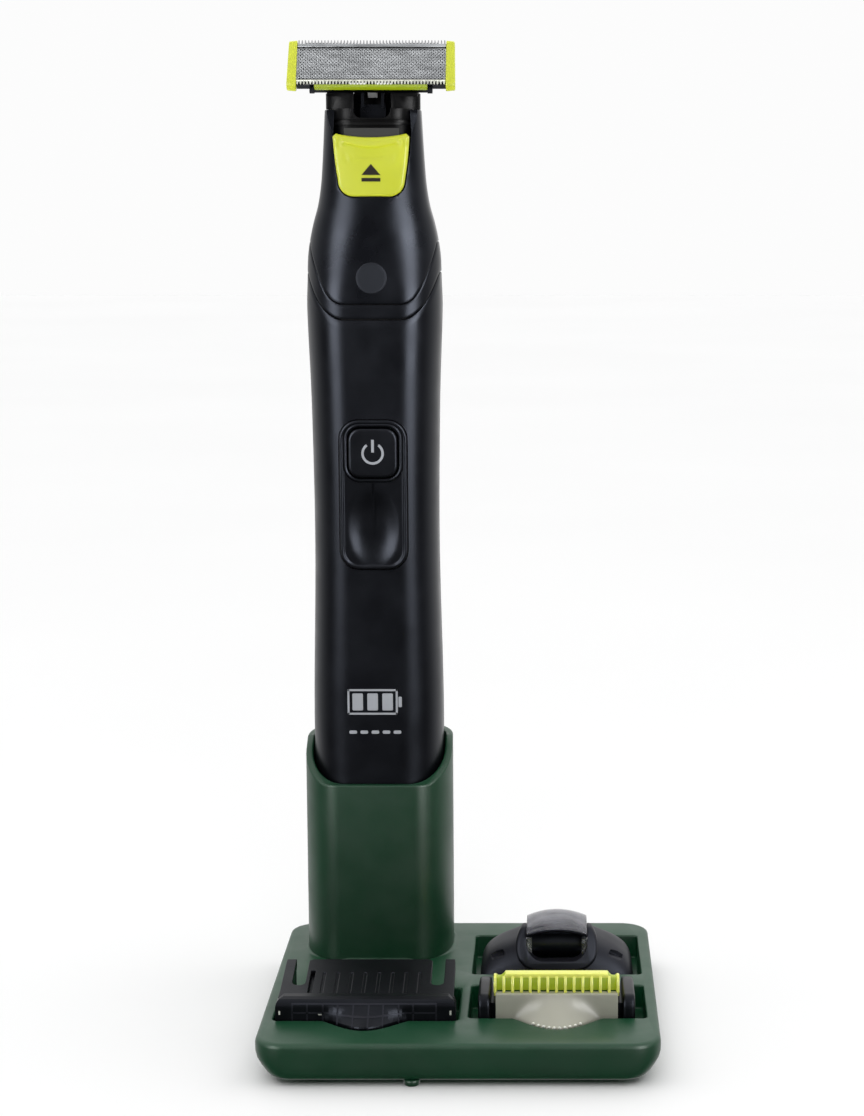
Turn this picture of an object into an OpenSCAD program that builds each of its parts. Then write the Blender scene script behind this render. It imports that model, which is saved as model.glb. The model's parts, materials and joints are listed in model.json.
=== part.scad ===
// Beard trimmer standing in the tower of a storage stand, with three stored attachments.
// The origin is the centre of the stand's footprint, on the surface it stands on.

/* [Stand] */
// Width of the stand base
base_w = 77.8; // [76:0.2:80]
// Depth of the stand base
base_d = 78.5; // [77:0.5:80]
// Height of the base's top face above the table
base_top = 8.4; // [8:0.1:9]
// Gap between the tray and the table
foot_h = 1; // [0.8:0.1:1.5]
// Width of the tower
tower_w = 30.8; // [30:0.1:31.5]
// Depth of the tower
tower_d = 27.5; // [27:0.1:28.5]
// Height of the tower's front rim
tower_front = 46.1; // [42:0.1:50]
// Height of the tower's back rim
tower_back = 53.5; // [50:0.1:58]

/* [Handle] */
// Sideways place of the trimmer's axis
trimmer_x = -18.5; // [-19:0.1:-18]
// Front-to-back place of the trimmer's axis
trimmer_y = 25.4; // [25:0.1:25.6]
// Height at which the handle rests in the well
handle_bottom = 10.4; // [10.2:0.1:11]
// Height of the neck's upper rim
neck_top = 181.9; // [181.5:0.1:182]
// Thickness of the handle's walls
wall = 1.3; // [1.1:0.1:1.5]

/* [Blade] */
// Length of the blade over its end caps
blade_len = 34; // [32:0.5:35]
// Height of the foil along its own plane
foil_h = 11; // [10.5:0.1:11.5]
// Backward lean of the foil in degrees
lean = 30; // [28:1:32]
// Teeth along each edge of the foil
tooth_count = 46; // [30:2:50]

/* [Attachments] */
// Slots in the stubble comb's top plate
comb_slots = 8; // [4:1:8]
// Ribs between the end ribs of the lime comb
rib_count = 13; // [9:2:15]
// White tooth tips under the guard plate
tip_count = 7; // [5:2:9]

/* [Hidden] */

// Heights in the stand
cover_top = 2.4;
pocket_floor = 3.4;
base_r = 5;
chamfer_w = 2.6;
chamfer_h = 4;
pocket_r = 0.9;
fit_gap = 0.4;
tray_wall_x = 4.5;
tray_wall_y = 2.5;
screw_x = 28;
screw_y = 14;
foot_y = 30;
nub_x = 8.7;
nub_r = 1.55;

// Tower section
tower_x = trimmer_x;
tower_y = base_d / 2 - tower_d / 2;
tower_wall = 1.5;
tower_slope_d = 14.5;

// Pockets: centre x, half width, front y, back y, half width and depth of the thumb notch
comb_pocket = [-18.4, 18.0, -25.4, -5.6, 8.4, 5.7];
guard_pocket = [19.1, 17.4, -23.9, -3.9, 8.8, 6.6];
cap_pocket = [19.0, 17.4, 3.1, 29.4];

// Handle profile: [height, half width, front half depth, back half depth]
PROFILE = [
    [20, 13.0, 11.0, 11.0],
    [40, 13.3, 11.3, 11.3],
    [60, 13.55, 11.3, 11.4],
    [95, 12.9, 11.3, 11.5],
    [125, 13.2, 11.4, 11.6],
    [144.5, 13.85, 11.4, 11.4],
    [150, 13.68, 11.0, 11.2],
    [154.5, 13.55, 10.4, 10.9],
    [158, 13.1, 9.9, 10.7],
    [161.5, 12.35, 9.3, 10.35],
    [165, 11.4, 8.75, 10.05],
    [169, 10.75, 8.2, 9.75],
    [174, 10.35, 7.8, 9.5],
    [183, 9.85, 7.4, 9.0]
];
corner_steps = 8;
flat_x = 0.5;
flat_y = 0.18;
seam_gap = 0.06;
part_gap = 0.3;
shell_foot = 20.2;
cap_round = 3.6;
badge_z = 151;
case_screw_z = [30, 118];

// Drive train
drive_y = 26;
motor_r = 7.75;
motor_low = 126.6;
motor_high = 152;
shaft_r = 1;
throw_r = 0.6;
cam_r = 1.7;
lever_z = 170;
pin_r = 1;
run_gap = 0.05;

// Buttons
panel_low = 91.1;
panel_high = 121.9;
panel_half = 6.95;
panel_y = 13.5;
button_mid = 115.2;
button_half = 5.0;
eject_low = 166.9;
eject_high = 179.3;
eject_half = 7.65;
eject_travel = 1.2;

// Blade head: the pivot lies foil_reach behind the foil
foil_reach = 6.2;
pivot_y = 26.5;
pivot_z = 190.35;
ear_r = 1.9;
head_pin_r = 0.75;
cap_len = 1.9;
block_top = 187.6;

// ---------- shared functions ----------

// Cubic through the rows of a table, for the value in column c at height z.
function row_at(z, i = 1) = (i >= len(PROFILE) - 1 || PROFILE[i][0] >= z) ? i - 1 : row_at(z, i + 1);
function slope_at(i, c) =
    let (a = max(i - 1, 0), b = min(i + 1, len(PROFILE) - 1))
    (PROFILE[b][c] - PROFILE[a][c]) / (PROFILE[b][0] - PROFILE[a][0]);
function profile(z, c) =
    let (
        i = row_at(z),
        span = PROFILE[i + 1][0] - PROFILE[i][0],
        t = (z - PROFILE[i][0]) / span,
        t2 = t * t,
        t3 = t2 * t
    )
    (2 * t3 - 3 * t2 + 1) * PROFILE[i][c] + (t3 - 2 * t2 + t) * span * slope_at(i, c)
    + (3 * t2 - 2 * t3) * PROFILE[i + 1][c] + (t3 - t2) * span * slope_at(i + 1, c);

// One elliptical corner of a flat-faced section: half sizes a and b, quadrant q.
function corner(a, b, q, n) = [
    for (i = [0:n])
        let (
            t = 90 * (q + i / n),
            sx = (q == 0 || q == 3) ? 1 : -1,
            sy = q < 2 ? 1 : -1
        )
        [sx * a * flat_x + a * (1 - flat_x) * cos(t), sy * b * flat_y + b * (1 - flat_y) * sin(t)]
];
function front_half(a, b, n = corner_steps) =
    concat([[-a, -seam_gap]], corner(a, b, 2, n), corner(a, b, 3, n), [[a, -seam_gap]]);
function back_half(a, b, n = corner_steps) =
    concat([[a, seam_gap]], corner(a, b, 0, n), corner(a, b, 1, n), [[-a, seam_gap]]);
function section(a, bf, bb, n = corner_steps) =
    concat(corner(a, bb, 0, n), corner(a, bb, 1, n), corner(a, bf, 2, n), corner(a, bf, 3, n));

// Handle section at height z, moved in by d: the front half, the back half or the whole ring.
function shell_points(z, d, side) =
    let (a = profile(z, 1) - d, bf = profile(z, 2) - d, bb = profile(z, 3) - d)
    side == "front" ? front_half(a, bf) : side == "back" ? back_half(a, bb) : section(a, bf, bb);

// The U-shaped parting line: low at the front centre, rising to the sides, level round the back.
function bend(p) = p[1] > 0 ? 1 : pow(max(0, min(1, (abs(p[0]) / 13.6 - 0.35) / 0.65)), 2.4);
function groove_z(p) = 142.1 + 9.2 * bend(p);
function neck_z(p) = 145.3 + 12.4 * bend(p);
function rim_z(p) = neck_top - 0.5 + 2.6 * min(1, max(0, (abs(p[0]) - 4) / 3 + max(0, p[1])));

function rounded(w, h, r, n = 6) = [
    for (q = [0:3])
        for (i = [0:n])
            let (t = 90 * (q + i / n), sx = (q == 0 || q == 3) ? 1 : -1, sy = q < 2 ? 1 : -1)
            [sx * (w / 2 - r) + r * cos(t), sy * (h / 2 - r) + r * sin(t)]
];
function arc(cx, cy, r, from, to, n) = [
    for (i = [0:n]) let (t = from + (to - from) * i / n) [cx + r * cos(t), cy + r * sin(t)]
];

// ---------- shared modules ----------

// A thick wall between two grids of points. Rows rise; columns run anticlockwise seen from above.
module thick_wall(outer, inner, ring = false) {
    rows = len(outer);
    cols = len(outer[0]);
    points = concat([for (r = outer) each r], [for (r = inner) each r]);
    shift = rows * cols;
    last = ring ? cols - 1 : cols - 2;
    function o(j, k) = j * cols + (k % cols);
    function n(j, k) = shift + o(j, k);
    sheet = [
        for (j = [0:rows - 2])
            for (k = [0:last])
                each [
                    [o(j, k), o(j + 1, k), o(j + 1, k + 1)],
                    [o(j, k), o(j + 1, k + 1), o(j, k + 1)],
                    [n(j, k), n(j + 1, k + 1), n(j + 1, k)],
                    [n(j, k), n(j, k + 1), n(j + 1, k + 1)]
                ]
    ];
    foot = [
        for (k = [0:last])
            each [[o(0, k), o(0, k + 1), n(0, k + 1)], [o(0, k), n(0, k + 1), n(0, k)]]
    ];
    head = [
        for (k = [0:last])
            let (j = rows - 1)
            each [[o(j, k), n(j, k + 1), o(j, k + 1)], [o(j, k), n(j, k), n(j, k + 1)]]
    ];
    sides = ring ? [] : [
        for (j = [0:rows - 2])
            let (e = cols - 1)
            each [
                [o(j, 0), n(j, 0), n(j + 1, 0)],
                [o(j, 0), n(j + 1, 0), o(j + 1, 0)],
                [o(j, e), n(j + 1, e), n(j, e)],
                [o(j, e), o(j + 1, e), n(j + 1, e)]
            ]
    ];
    polyhedron(points = points, faces = concat(sheet, foot, head, sides));
}

// A closed solid through a stack of rings.
module loft(rings) {
    cols = len(rings[0]);
    rows = len(rings);
    function o(j, k) = j * cols + (k % cols);
    polyhedron(
        points = [for (r = rings) each r],
        faces = concat(
            [[for (k = [0:cols - 1]) k]],
            [[for (k = [cols - 1:-1:0]) o(rows - 1, k)]],
            [
                for (j = [0:rows - 2])
                    for (k = [0:cols - 1])
                        each [[o(j, k), o(j + 1, k), o(j + 1, k + 1)],
                            [o(j, k), o(j + 1, k + 1), o(j, k + 1)]]
            ]
        )
    );
}

// Wall grid of the handle between two heights; the top row may follow a parting line.
function level_rows(low, high, count) = [for (j = [0:count]) low + (high - low) * j / count];
function place(p, z) = [trimmer_x + p[0], trimmer_y + p[1], z];
function shell_rows(levels, d, side) = [for (z = levels) [for (p = shell_points(z, d, side)) place(p, z)]];

// Row between two parting lines at fraction f, each point taken at its own height.
function line_low(p, kind) = kind == "collar" ? groove_z(p) + part_gap : neck_z(p) + 0.12;
function line_high(p, kind) = kind == "collar" ? neck_z(p) - 0.12 : 160;
function band_row(f, d, side, kind) =
    let (guide = shell_points(150, 0, side))
    [
        for (k = [0:len(guide) - 1])
            let (
                z = line_low(guide[k], kind) * (1 - f) + line_high(guide[k], kind) * f,
                p = shell_points(z, d, side)[k]
            )
            place(p, z)
    ];
function rim_row(d) =
    [for (p = shell_points(neck_top, d, "ring")) place(p, rim_z(p))];
function shell_top_row(f, d, side) =
    let (guide = shell_points(150, 0, side))
    [
        for (k = [0:len(guide) - 1])
            let (z = 136 * (1 - f) + groove_z(guide[k]) * f, p = shell_points(z, d, side)[k])
            place(p, z)
    ];

module at_axis(z = 0) {
    translate([trimmer_x, trimmer_y, z]) children();
}

// A plate standing upright, drawn in x and z, from y_front back by depth.
module upright(y_front, depth) {
    translate([0, y_front + depth, 0]) rotate([90, 0, 0]) linear_extrude(depth) children();
}

// A section drawn in y and z, run along x from x_low by length.
module along_x(x_low, length) {
    translate([x_low, 0, 0]) rotate([90, 0, 90]) linear_extrude(length) children();
}

module rod_y(x, z, y_low, y_high, r) {
    translate([x, y_high, z]) rotate([90, 0, 0]) cylinder(h = y_high - y_low, r = r, $fn = 32);
}

module rod_x(y, z, x_low, x_high, r) {
    translate([x_low, y, z]) rotate([0, 90, 0]) cylinder(h = x_high - x_low, r = r, $fn = 32);
}

module block(x, y, z) {
    translate([x[0], y[0], z[0]]) cube([x[1] - x[0], y[1] - y[0], z[1] - z[0]]);
}

// ---------- stand ----------

module pocket_outline(p) {
    translate([p[0], (p[2] + p[3]) / 2]) polygon(rounded(2 * p[1], p[3] - p[2], pocket_r));
}
// The thumb notch is a bell curve in front of the pocket; inset draws it smaller for what fits in it.
function bell(t) = pow((1 + cos(180 * t)) / 2, 0.58);
module notch_outline(p, inset = 0) {
    steps = 32;
    polygon(concat(
        [
            for (i = [0:steps])
                let (t = 2 * i / steps - 1)
                [p[0] + t * (p[4] - inset), p[2] + inset - p[5] * bell(t)]
        ],
        [[p[0] + p[4] - inset, p[2] + 1.4], [p[0] - p[4] + inset, p[2] + 1.4]]
    ));
}
module base_side_profile() {
    polygon([
        [-base_w / 2, base_top],
        [-base_w / 2, foot_h + chamfer_h],
        [-base_w / 2 + chamfer_w, foot_h],
        [base_w / 2 - chamfer_w, foot_h],
        [base_w / 2, foot_h + chamfer_h],
        [base_w / 2, base_top]
    ]);
}
module base_tray() {
    color([0.13, 0.26, 0.17])
    for (s = [-1, 1])
        translate([s * nub_x, s * (base_d / 2 - nub_r), 0]) cylinder(h = foot_h + 0.1, r = nub_r, $fn = 32);
    color([0.13, 0.26, 0.17])
    difference() {
        intersection() {
            linear_extrude(base_top) polygon(rounded(base_w, base_d, base_r));
            upright(-base_d / 2, base_d) base_side_profile();
        }
        for (p = [comb_pocket, guard_pocket, cap_pocket])
            translate([0, 0, pocket_floor]) linear_extrude(base_top) pocket_outline(p);
        for (p = [comb_pocket, guard_pocket])
            translate([0, 0, pocket_floor]) linear_extrude(base_top) notch_outline(p);
        translate([0, 0, -1]) linear_extrude(cover_top + 1)
            polygon(rounded(base_w - 2 * tray_wall_x, base_d - 2 * tray_wall_y, 3));
        block([tower_x - 13, tower_x + 13], [tower_y - 11, tower_y + 11], [cover_top - 0.1, 6.6]);
    }
}

function tower_section(d) = [
    for (p = section(tower_w / 2 - d, tower_d / 2 - d, tower_d / 2 - d, 16)) [tower_x + p[0], tower_y + p[1]]
];
module tower_sleeve() {
    front = tower_y - tower_d / 2;
    back = tower_y + tower_d / 2;
    color([0.12, 0.25, 0.16])
    difference() {
        intersection() {
            translate([0, 0, base_top]) linear_extrude(tower_back) polygon(tower_section(0));
            along_x(tower_x - tower_w, 2 * tower_w) polygon([
                [front - 1, base_top - 1],
                [front - 1, tower_front],
                [front + 1.2, tower_front],
                [front + tower_slope_d, tower_back],
                [back + 1, tower_back],
                [back + 1, base_top - 1]
            ]);
        }
        translate([0, 0, base_top - 1]) linear_extrude(tower_back) polygon(tower_section(tower_wall));
    }
}
module at_cover_screws() {
    for (x = [-screw_x, screw_x]) for (y = [-screw_y, screw_y]) translate([x, y, 0]) children();
}
module base_cover() {
    color([0.11, 0.23, 0.15])
    difference() {
        translate([0, 0, foot_h + 0.1])
            linear_extrude(cover_top - foot_h - 0.2)
                polygon(rounded(base_w - 2 * tray_wall_x - fit_gap, base_d - 2 * tray_wall_y - fit_gap, 3));
        at_cover_screws() cylinder(h = 2, r = 1.9, $fn = 32);
        at_cover_screws() cylinder(h = 4, r = 0.85, $fn = 32);
    }
}
module ballast_plate() {
    color([0.45, 0.45, 0.47])
    translate([tower_x, tower_y, cover_top - 0.1]) linear_extrude(4) polygon(rounded(25.4, 21.4, 2));
}
module cover_screws() {
    color([0.6, 0.6, 0.62])
    at_cover_screws()
        difference() {
            union() {
                translate([0, 0, 1.2]) cylinder(h = 0.8, r = 1.7, $fn = 32);
                translate([0, 0, 1.6]) cylinder(h = 1.6, r = 0.8, $fn = 32);
            }
            translate([-1.1, -0.2, 1]) cube([2.2, 0.4, 0.5]);
            translate([-0.2, -1.1, 1]) cube([0.4, 2.2, 0.5]);
        }
}
module rubber_feet() {
    color([0.08, 0.08, 0.08])
    for (x = [-screw_x, screw_x])
        for (y = [-foot_y, foot_y])
            translate([x, y, 0])
                rotate_extrude($fn = 40)
                    polygon(concat([[0, 0]], arc(3.6, 0.4, 0.4, -90, 0, 4),
                        [[4, foot_h + 0.1], [0, foot_h + 0.1]]));
}
module well_pad() {
    color([0.1, 0.1, 0.11])
    translate([tower_x, tower_y, base_top]) linear_extrude(1.6)
        difference() {
            polygon(rounded(22, 18, 4));
            circle(r = 6, $fn = 48);
        }
}

// ---------- handle ----------

module half_shell(side) {
    outer = concat(shell_rows(level_rows(shell_foot, 136, 18), 0, side), [shell_top_row(1, 0, side)]);
    inner = concat(shell_rows(level_rows(shell_foot, 136, 18), wall, side), [shell_top_row(1, wall, side)]);
    thick_wall(outer, inner);
}
module panel_outline(grow = 0) {
    translate([trimmer_x, (panel_low + panel_high) / 2])
        polygon(rounded(2 * (panel_half + grow), panel_high - panel_low + 2 * grow, 4 + grow, 8));
}
module front_shell() {
    color([0.11, 0.11, 0.125])
    difference() {
        half_shell("front");
        upright(trimmer_y - 14, 5) panel_outline(0.15);
    }
}
module rear_shell() {
    color([0.1, 0.1, 0.115])
    difference() {
        half_shell("back");
        for (z = case_screw_z) rod_y(trimmer_x, z, trimmer_y + 8, trimmer_y + 14, 1.9);
    }
}
module band(kind, count) {
    thick_wall(
        [for (j = [0:count]) band_row(j / count, 0, "ring", kind)],
        [for (j = [0:count]) band_row(j / count, wall, "ring", kind)],
        true
    );
}
module collar_band() {
    color([0.09, 0.09, 0.1]) band("collar", 3);
}
module neck_shell() {
    upper = level_rows(162, neck_top - 1, 9);
    color([0.07, 0.07, 0.08])
    difference() {
        thick_wall(
            concat(
                [for (j = [0:4]) band_row(j / 4, 0, "ring", "neck")],
                shell_rows(upper, 0, "ring"),
                [rim_row(0)]
            ),
            concat(
                [for (j = [0:4]) band_row(j / 4, wall, "ring", "neck")],
                shell_rows(upper, wall, "ring"),
                [rim_row(wall)]
            ),
            true
        );
        upright(trimmer_y - 12, 8.6)
            translate([trimmer_x, 0])
                polygon([
                    [-9.4, neck_top + 4],
                    [-9.1, neck_top + 0.6],
                    [-8.5, neck_top - 1.6],
                    [-eject_half - 0.3, eject_high],
                    [-eject_half + 0.6, eject_low - 0.3],
                    [eject_half - 0.6, eject_low - 0.3],
                    [eject_half + 0.3, eject_high],
                    [8.5, neck_top - 1.6],
                    [9.1, neck_top + 0.6],
                    [9.4, neck_top + 4]
                ]);
    }
}
module badge_disc() {
    color([0.13, 0.13, 0.14])
    translate([trimmer_x, trimmer_y - profile(badge_z, 2) + 0.6, badge_z])
        rotate([90 - atan((profile(badge_z - 3, 2) - profile(badge_z + 3, 2)) / 6), 0, 0])
            cylinder(h = 0.72, r = 3.15, $fn = 48);
}
module end_cap() {
    color([0.08, 0.08, 0.09])
    difference() {
        loft(concat(
            [
                for (i = [0:6])
                    let (t = 90 * i / 6, d = cap_round * (1 - sin(t)),
                        z = handle_bottom + cap_round * (1 - cos(t)))
                    [for (p = shell_points(shell_foot, d, "ring")) place(p, z)]
            ],
            [[for (p = shell_points(shell_foot, 0, "ring")) place(p, shell_foot - 0.1)]]
        ));
        translate([trimmer_x, trimmer_y, handle_bottom + 2.6])
            linear_extrude(20) polygon(shell_points(shell_foot, 1.5, "ring"));
        translate([trimmer_x, trimmer_y, handle_bottom - 1])
            linear_extrude(6) polygon(rounded(9.2, 5.2, 2.4));
    }
}
module charge_socket() {
    color([0.16, 0.16, 0.17])
    difference() {
        translate([trimmer_x, trimmer_y, handle_bottom + 2.6]) linear_extrude(7) polygon(rounded(14, 10, 2));
        translate([trimmer_x, trimmer_y, handle_bottom + 3])
            linear_extrude(5) polygon(rounded(8.6, 4.6, 2.2));
        for (s = [-1, 1]) translate([trimmer_x + 2 * s, trimmer_y, 8]) cylinder(h = 20, r = 0.6, $fn = 24);
    }
}
module contact_pins() {
    color([0.85, 0.7, 0.35])
    for (s = [-1, 1])
        translate([trimmer_x + 2 * s, trimmer_y, handle_bottom + 1.6]) cylinder(h = 10, r = 0.6, $fn = 24);
}
module battery_cell() {
    color([0.2, 0.45, 0.6])
    at_axis(26) {
        cylinder(h = 48, r = 7, $fn = 48);
        translate([0, 0, 48]) cylinder(h = 1.2, r = 2.6, $fn = 32);
    }
}
module battery_tabs() {
    color([0.75, 0.75, 0.72])
    for (z = [25.4, 75.2])
        at_axis(z) translate([-3, -5, 0]) cube([6, 10, 0.6]);
}
module chassis() {
    spine_y = trimmer_y + 7.3;
    color([0.2, 0.2, 0.22]) {
        block([trimmer_x - 6, trimmer_x + 6], [spine_y, spine_y + 1.4], [22.4, 126.6]);
        block([trimmer_x - 8, trimmer_x + 8], [trimmer_y - 4.6, spine_y], [76.4, 77.6]);
        block([trimmer_x - 8, trimmer_x + 8], [trimmer_y - 4.6, spine_y], [125.2, 126.6]);
        block([trimmer_x - 8, trimmer_x + 8], [trimmer_y - 6, spine_y], [22.4, 24.8]);
    }
}
module circuit_board() {
    color([0.08, 0.35, 0.2])
    upright(20, 1)
        translate([trimmer_x, 101]) polygon(rounded(17, 46, 1));
}
module tact_switch() {
    color([0.35, 0.35, 0.36]) {
        block([trimmer_x - 3, trimmer_x + 3], [18.2, 20], [button_mid - 3, button_mid + 3]);
        rod_y(trimmer_x, button_mid, 17.7, 18.2, 1.6);
    }
}
module charge_leds() {
    color([0.9, 0.95, 0.9])
    for (x = [-4, 0, 4])
        block([trimmer_x + x - 0.8, trimmer_x + x + 0.8], [19.2, 20], [84, 85.6]);
}
module motor_can() {
    color([0.7, 0.7, 0.72])
    difference() {
        translate([trimmer_x, drive_y, motor_low])
            cylinder(h = motor_high - motor_low, r = motor_r, $fn = 48);
        translate([trimmer_x, drive_y, motor_high - 8]) cylinder(h = 9, r = shaft_r + run_gap, $fn = 32);
    }
}
module motor_mount() {
    color([0.25, 0.25, 0.27])
    translate([trimmer_x, drive_y, motor_high]) difference() {
        linear_extrude(1.6) polygon(rounded(20, 17, 6));
        translate([0, 0, -1]) cylinder(h = 4, r = 1.8, $fn = 32);
    }
}
module lever_carrier() {
    color([0.22, 0.22, 0.24])
    difference() {
        union() {
            for (y = [drive_y - 3.6, drive_y + 1.8])
                block([trimmer_x - 8.2, trimmer_x + 8.2], [y, y + 1.8], [lever_z - 4, lever_z + 4]);
            for (x = [trimmer_x - 8.2, trimmer_x + 6.6])
                block([x, x + 1.6], [drive_y - 2, drive_y + 2], [motor_high + 1.6, lever_z + 4]);
        }
        rod_y(trimmer_x, lever_z, drive_y - 5, drive_y + 5, pin_r);
    }
}
module lever_pin() {
    color([0.8, 0.8, 0.82]) rod_y(trimmer_x, lever_z, drive_y - 3.6, drive_y + 3.6, pin_r);
}
module drive_seal() {
    color([0.13, 0.13, 0.13])
    translate([trimmer_x, drive_y, lever_z + 4]) linear_extrude(0.8)
        difference() {
            polygon(rounded(16, 9, 3));
            square([8.6, 5], center = true);
        }
}
module eject_guide() {
    color([0.15, 0.15, 0.16])
    block([trimmer_x - 5.6, trimmer_x + 5.6], [19.9, 20.7], [166.2, 180.6]);
    color([0.15, 0.15, 0.16])
    block([trimmer_x - 5.6, trimmer_x + 5.6], [20.6, drive_y - 3.6], [166.4, 168]);
}
module eject_spring() {
    color([0.75, 0.75, 0.78])
    for (i = [0:6])
        translate([trimmer_x, 19.7, 158.4 + 1.1 * i])
            rotate_extrude($fn = 32) translate([1.2, 0]) circle(r = 0.25, $fn = 16);
}
module switch_panel() {
    color([0.08, 0.08, 0.09])
    difference() {
        upright(panel_y, 2.4) panel_outline();
        upright(panel_y - 1, 5)
            translate([trimmer_x, button_mid])
                polygon(rounded(2 * button_half + 0.5, 2 * button_half + 0.5, 2.6));
        translate([trimmer_x, panel_y - 26, 99.5]) sphere(r = 27, $fn = 96);
    }
}
module printed_marks() {
    y = trimmer_y - profile(60, 2) - 0.02;
    color([0.72, 0.74, 0.78]) {
        for (i = [0:3])
            block([trimmer_x - 5.6 + 2.9 * i, trimmer_x - 3.4 + 2.9 * i], [y, y + 0.2], [61.2, 65.4]);
        block([trimmer_x - 5.2, trimmer_x + 5.2], [y, y + 0.2], [56.6, 57.2]);
    }
}
module case_screws() {
    color([0.3, 0.3, 0.32])
    for (z = case_screw_z)
        rod_y(trimmer_x, z, trimmer_y + profile(z, 3) - 2.2, trimmer_y + profile(z, 3) - 0.5, 1.8);
}

module power_button() {
    color([0.1, 0.1, 0.11]) {
        upright(panel_y - 0.7, 3)
            translate([trimmer_x, button_mid]) polygon(rounded(2 * button_half, 2 * button_half, 2.4));
        rod_y(trimmer_x, button_mid, panel_y + 2.3, 16.8, 1.4);
    }
}
module power_symbol() {
    color([0.78, 0.79, 0.8])
    upright(panel_y - 0.78, 0.08)
        translate([trimmer_x, button_mid]) {
            polygon(concat(arc(0, 0, 2.3, 125, 415, 24), arc(0, 0, 1.8, 415, 125, 24)));
            translate([-0.28, 0.2]) square([0.56, 2.6]);
        }
}
module eject_outline() {
    translate([trimmer_x, 0])
        polygon(concat(
            [[-eject_half, eject_high], [-6.4, eject_high + 0.15]],
            arc(0, eject_high + 16 * sin(70), 16, 250, 290, 8),
            [[6.4, eject_high + 0.15], [eject_half, eject_high]],
            arc(4.6, eject_low + 2.2, 2.2, -5, -90, 5),
            arc(-4.6, eject_low + 2.2, 2.2, 270, 185, 5)
        ));
}
module eject_button() {
    color([0.84, 0.88, 0.16])
    upright(16.7, 2.9) eject_outline();
}
module eject_symbol() {
    color([0.2, 0.22, 0.1])
    upright(16.62, 0.08)
        translate([trimmer_x, 0]) {
            polygon([[-1.9, 171.2], [1.9, 171.2], [0, 173.4]]);
            translate([-1.9, 169.9]) square([3.8, 0.7]);
        }
}

module motor_shaft() {
    color([0.8, 0.8, 0.82])
    translate([trimmer_x, drive_y, motor_high - 6]) cylinder(h = 12, r = shaft_r, $fn = 32);
}
module eccentric() {
    color([0.9, 0.9, 0.88])
    difference() {
        translate([trimmer_x + throw_r, drive_y, 155.5]) cylinder(h = 3, r = cam_r, $fn = 40);
        translate([trimmer_x, drive_y, 150]) cylinder(h = 12, r = shaft_r, $fn = 32);
    }
}
module drive_lever() {
    t = 1.2;
    color([0.85, 0.85, 0.83])
    difference() {
        union() {
            for (s = [-1, 1])
                translate([trimmer_x + s * 4.2 - 0.7, drive_y - t, 155.2]) cube([1.4, 2 * t, 7]);
            block([trimmer_x - 4.8, trimmer_x + 4.8], [drive_y - t, drive_y + t], [161.2, 163.4]);
            block([trimmer_x - 2.6, trimmer_x + 2.6], [drive_y - t, drive_y + t], [163.4, 185.4]);
            rod_y(trimmer_x, lever_z, drive_y - 1.6, drive_y + 1.6, 3.2);
            for (s = [-1, 1])
                translate([trimmer_x + s * 2.05 - 0.3, drive_y - 2.2, 184.8]) cube([0.6, 3.6, 4.1]);
        }
        rod_y(trimmer_x, lever_z, drive_y - 4, drive_y + 4, pin_r + run_gap);
    }
}

// ---------- cartridge and blade head ----------

// Frame of the blade head: x across, z up the leaning foil, -y out through the foil.
module at_head() {
    translate([trimmer_x, pivot_y, pivot_z]) rotate([-lean, 0, 0]) children();
}
function plug_section(a, bf, bb) = [for (p = section(a, bf, bb, 6)) [trimmer_x + p[0], trimmer_y + p[1]]];

module cartridge_base() {
    ear_x = 7.2;
    ear_w = 2;
    color([0.07, 0.07, 0.075])
    difference() {
        union() {
            translate([0, 0, 176]) linear_extrude(8) polygon(plug_section(8.2, 4.3, 7.2));
            translate([0, 0, 182.3]) linear_extrude(2.2) polygon(plug_section(8.2, 5.4, 7.3));
            translate([0, 0, 181.2]) linear_extrude(0.5) polygon(plug_section(8.3, 5.6, 7.4));
            translate([0, 0, 184.4]) linear_extrude(block_top - 184.4) polygon(plug_section(9.6, 2.6, 8.2));
            block([trimmer_x - 9.2, trimmer_x + 9.2], [trimmer_y - 2.6, trimmer_y - 1.8], [187, 189]);
            block([trimmer_x - 4.1, trimmer_x + 4.1], [28.3, 29.1], [block_top - 0.5, 189.2]);
            for (x = [trimmer_x - ear_x - ear_w, trimmer_x + ear_x]) {
                block([x, x + ear_w], [pivot_y - ear_r, pivot_y + ear_r], [block_top - 1, pivot_z]);
                rod_x(pivot_y, pivot_z, x, x + ear_w, ear_r);
            }
        }
        block([trimmer_x - 4.2, trimmer_x + 4.2], [drive_y - 2.6, drive_y + 1.9], [175, 190]);
        upright(17, drive_y - 18) translate([trimmer_x, 187.4]) polygon(rounded(7.6, 9.6, 1.6));
        rod_x(pivot_y, pivot_z, trimmer_x - 12, trimmer_x + 12, head_pin_r);
    }
}
module pivot_pins() {
    color([0.75, 0.75, 0.78])
    for (s = [-1, 1])
        rod_x(pivot_y, pivot_z, trimmer_x + s * 7.65 - 1.75, trimmer_x + s * 7.65 + 1.75, head_pin_r);
}
module return_leaf() {
    color([0.8, 0.8, 0.8])
    for (s = [-1, 1])
        block([trimmer_x + s * 5.2 - 0.9, trimmer_x + s * 5.2 + 0.9],
            [26.2, 32], [block_top, block_top + 0.3]);
}

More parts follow.
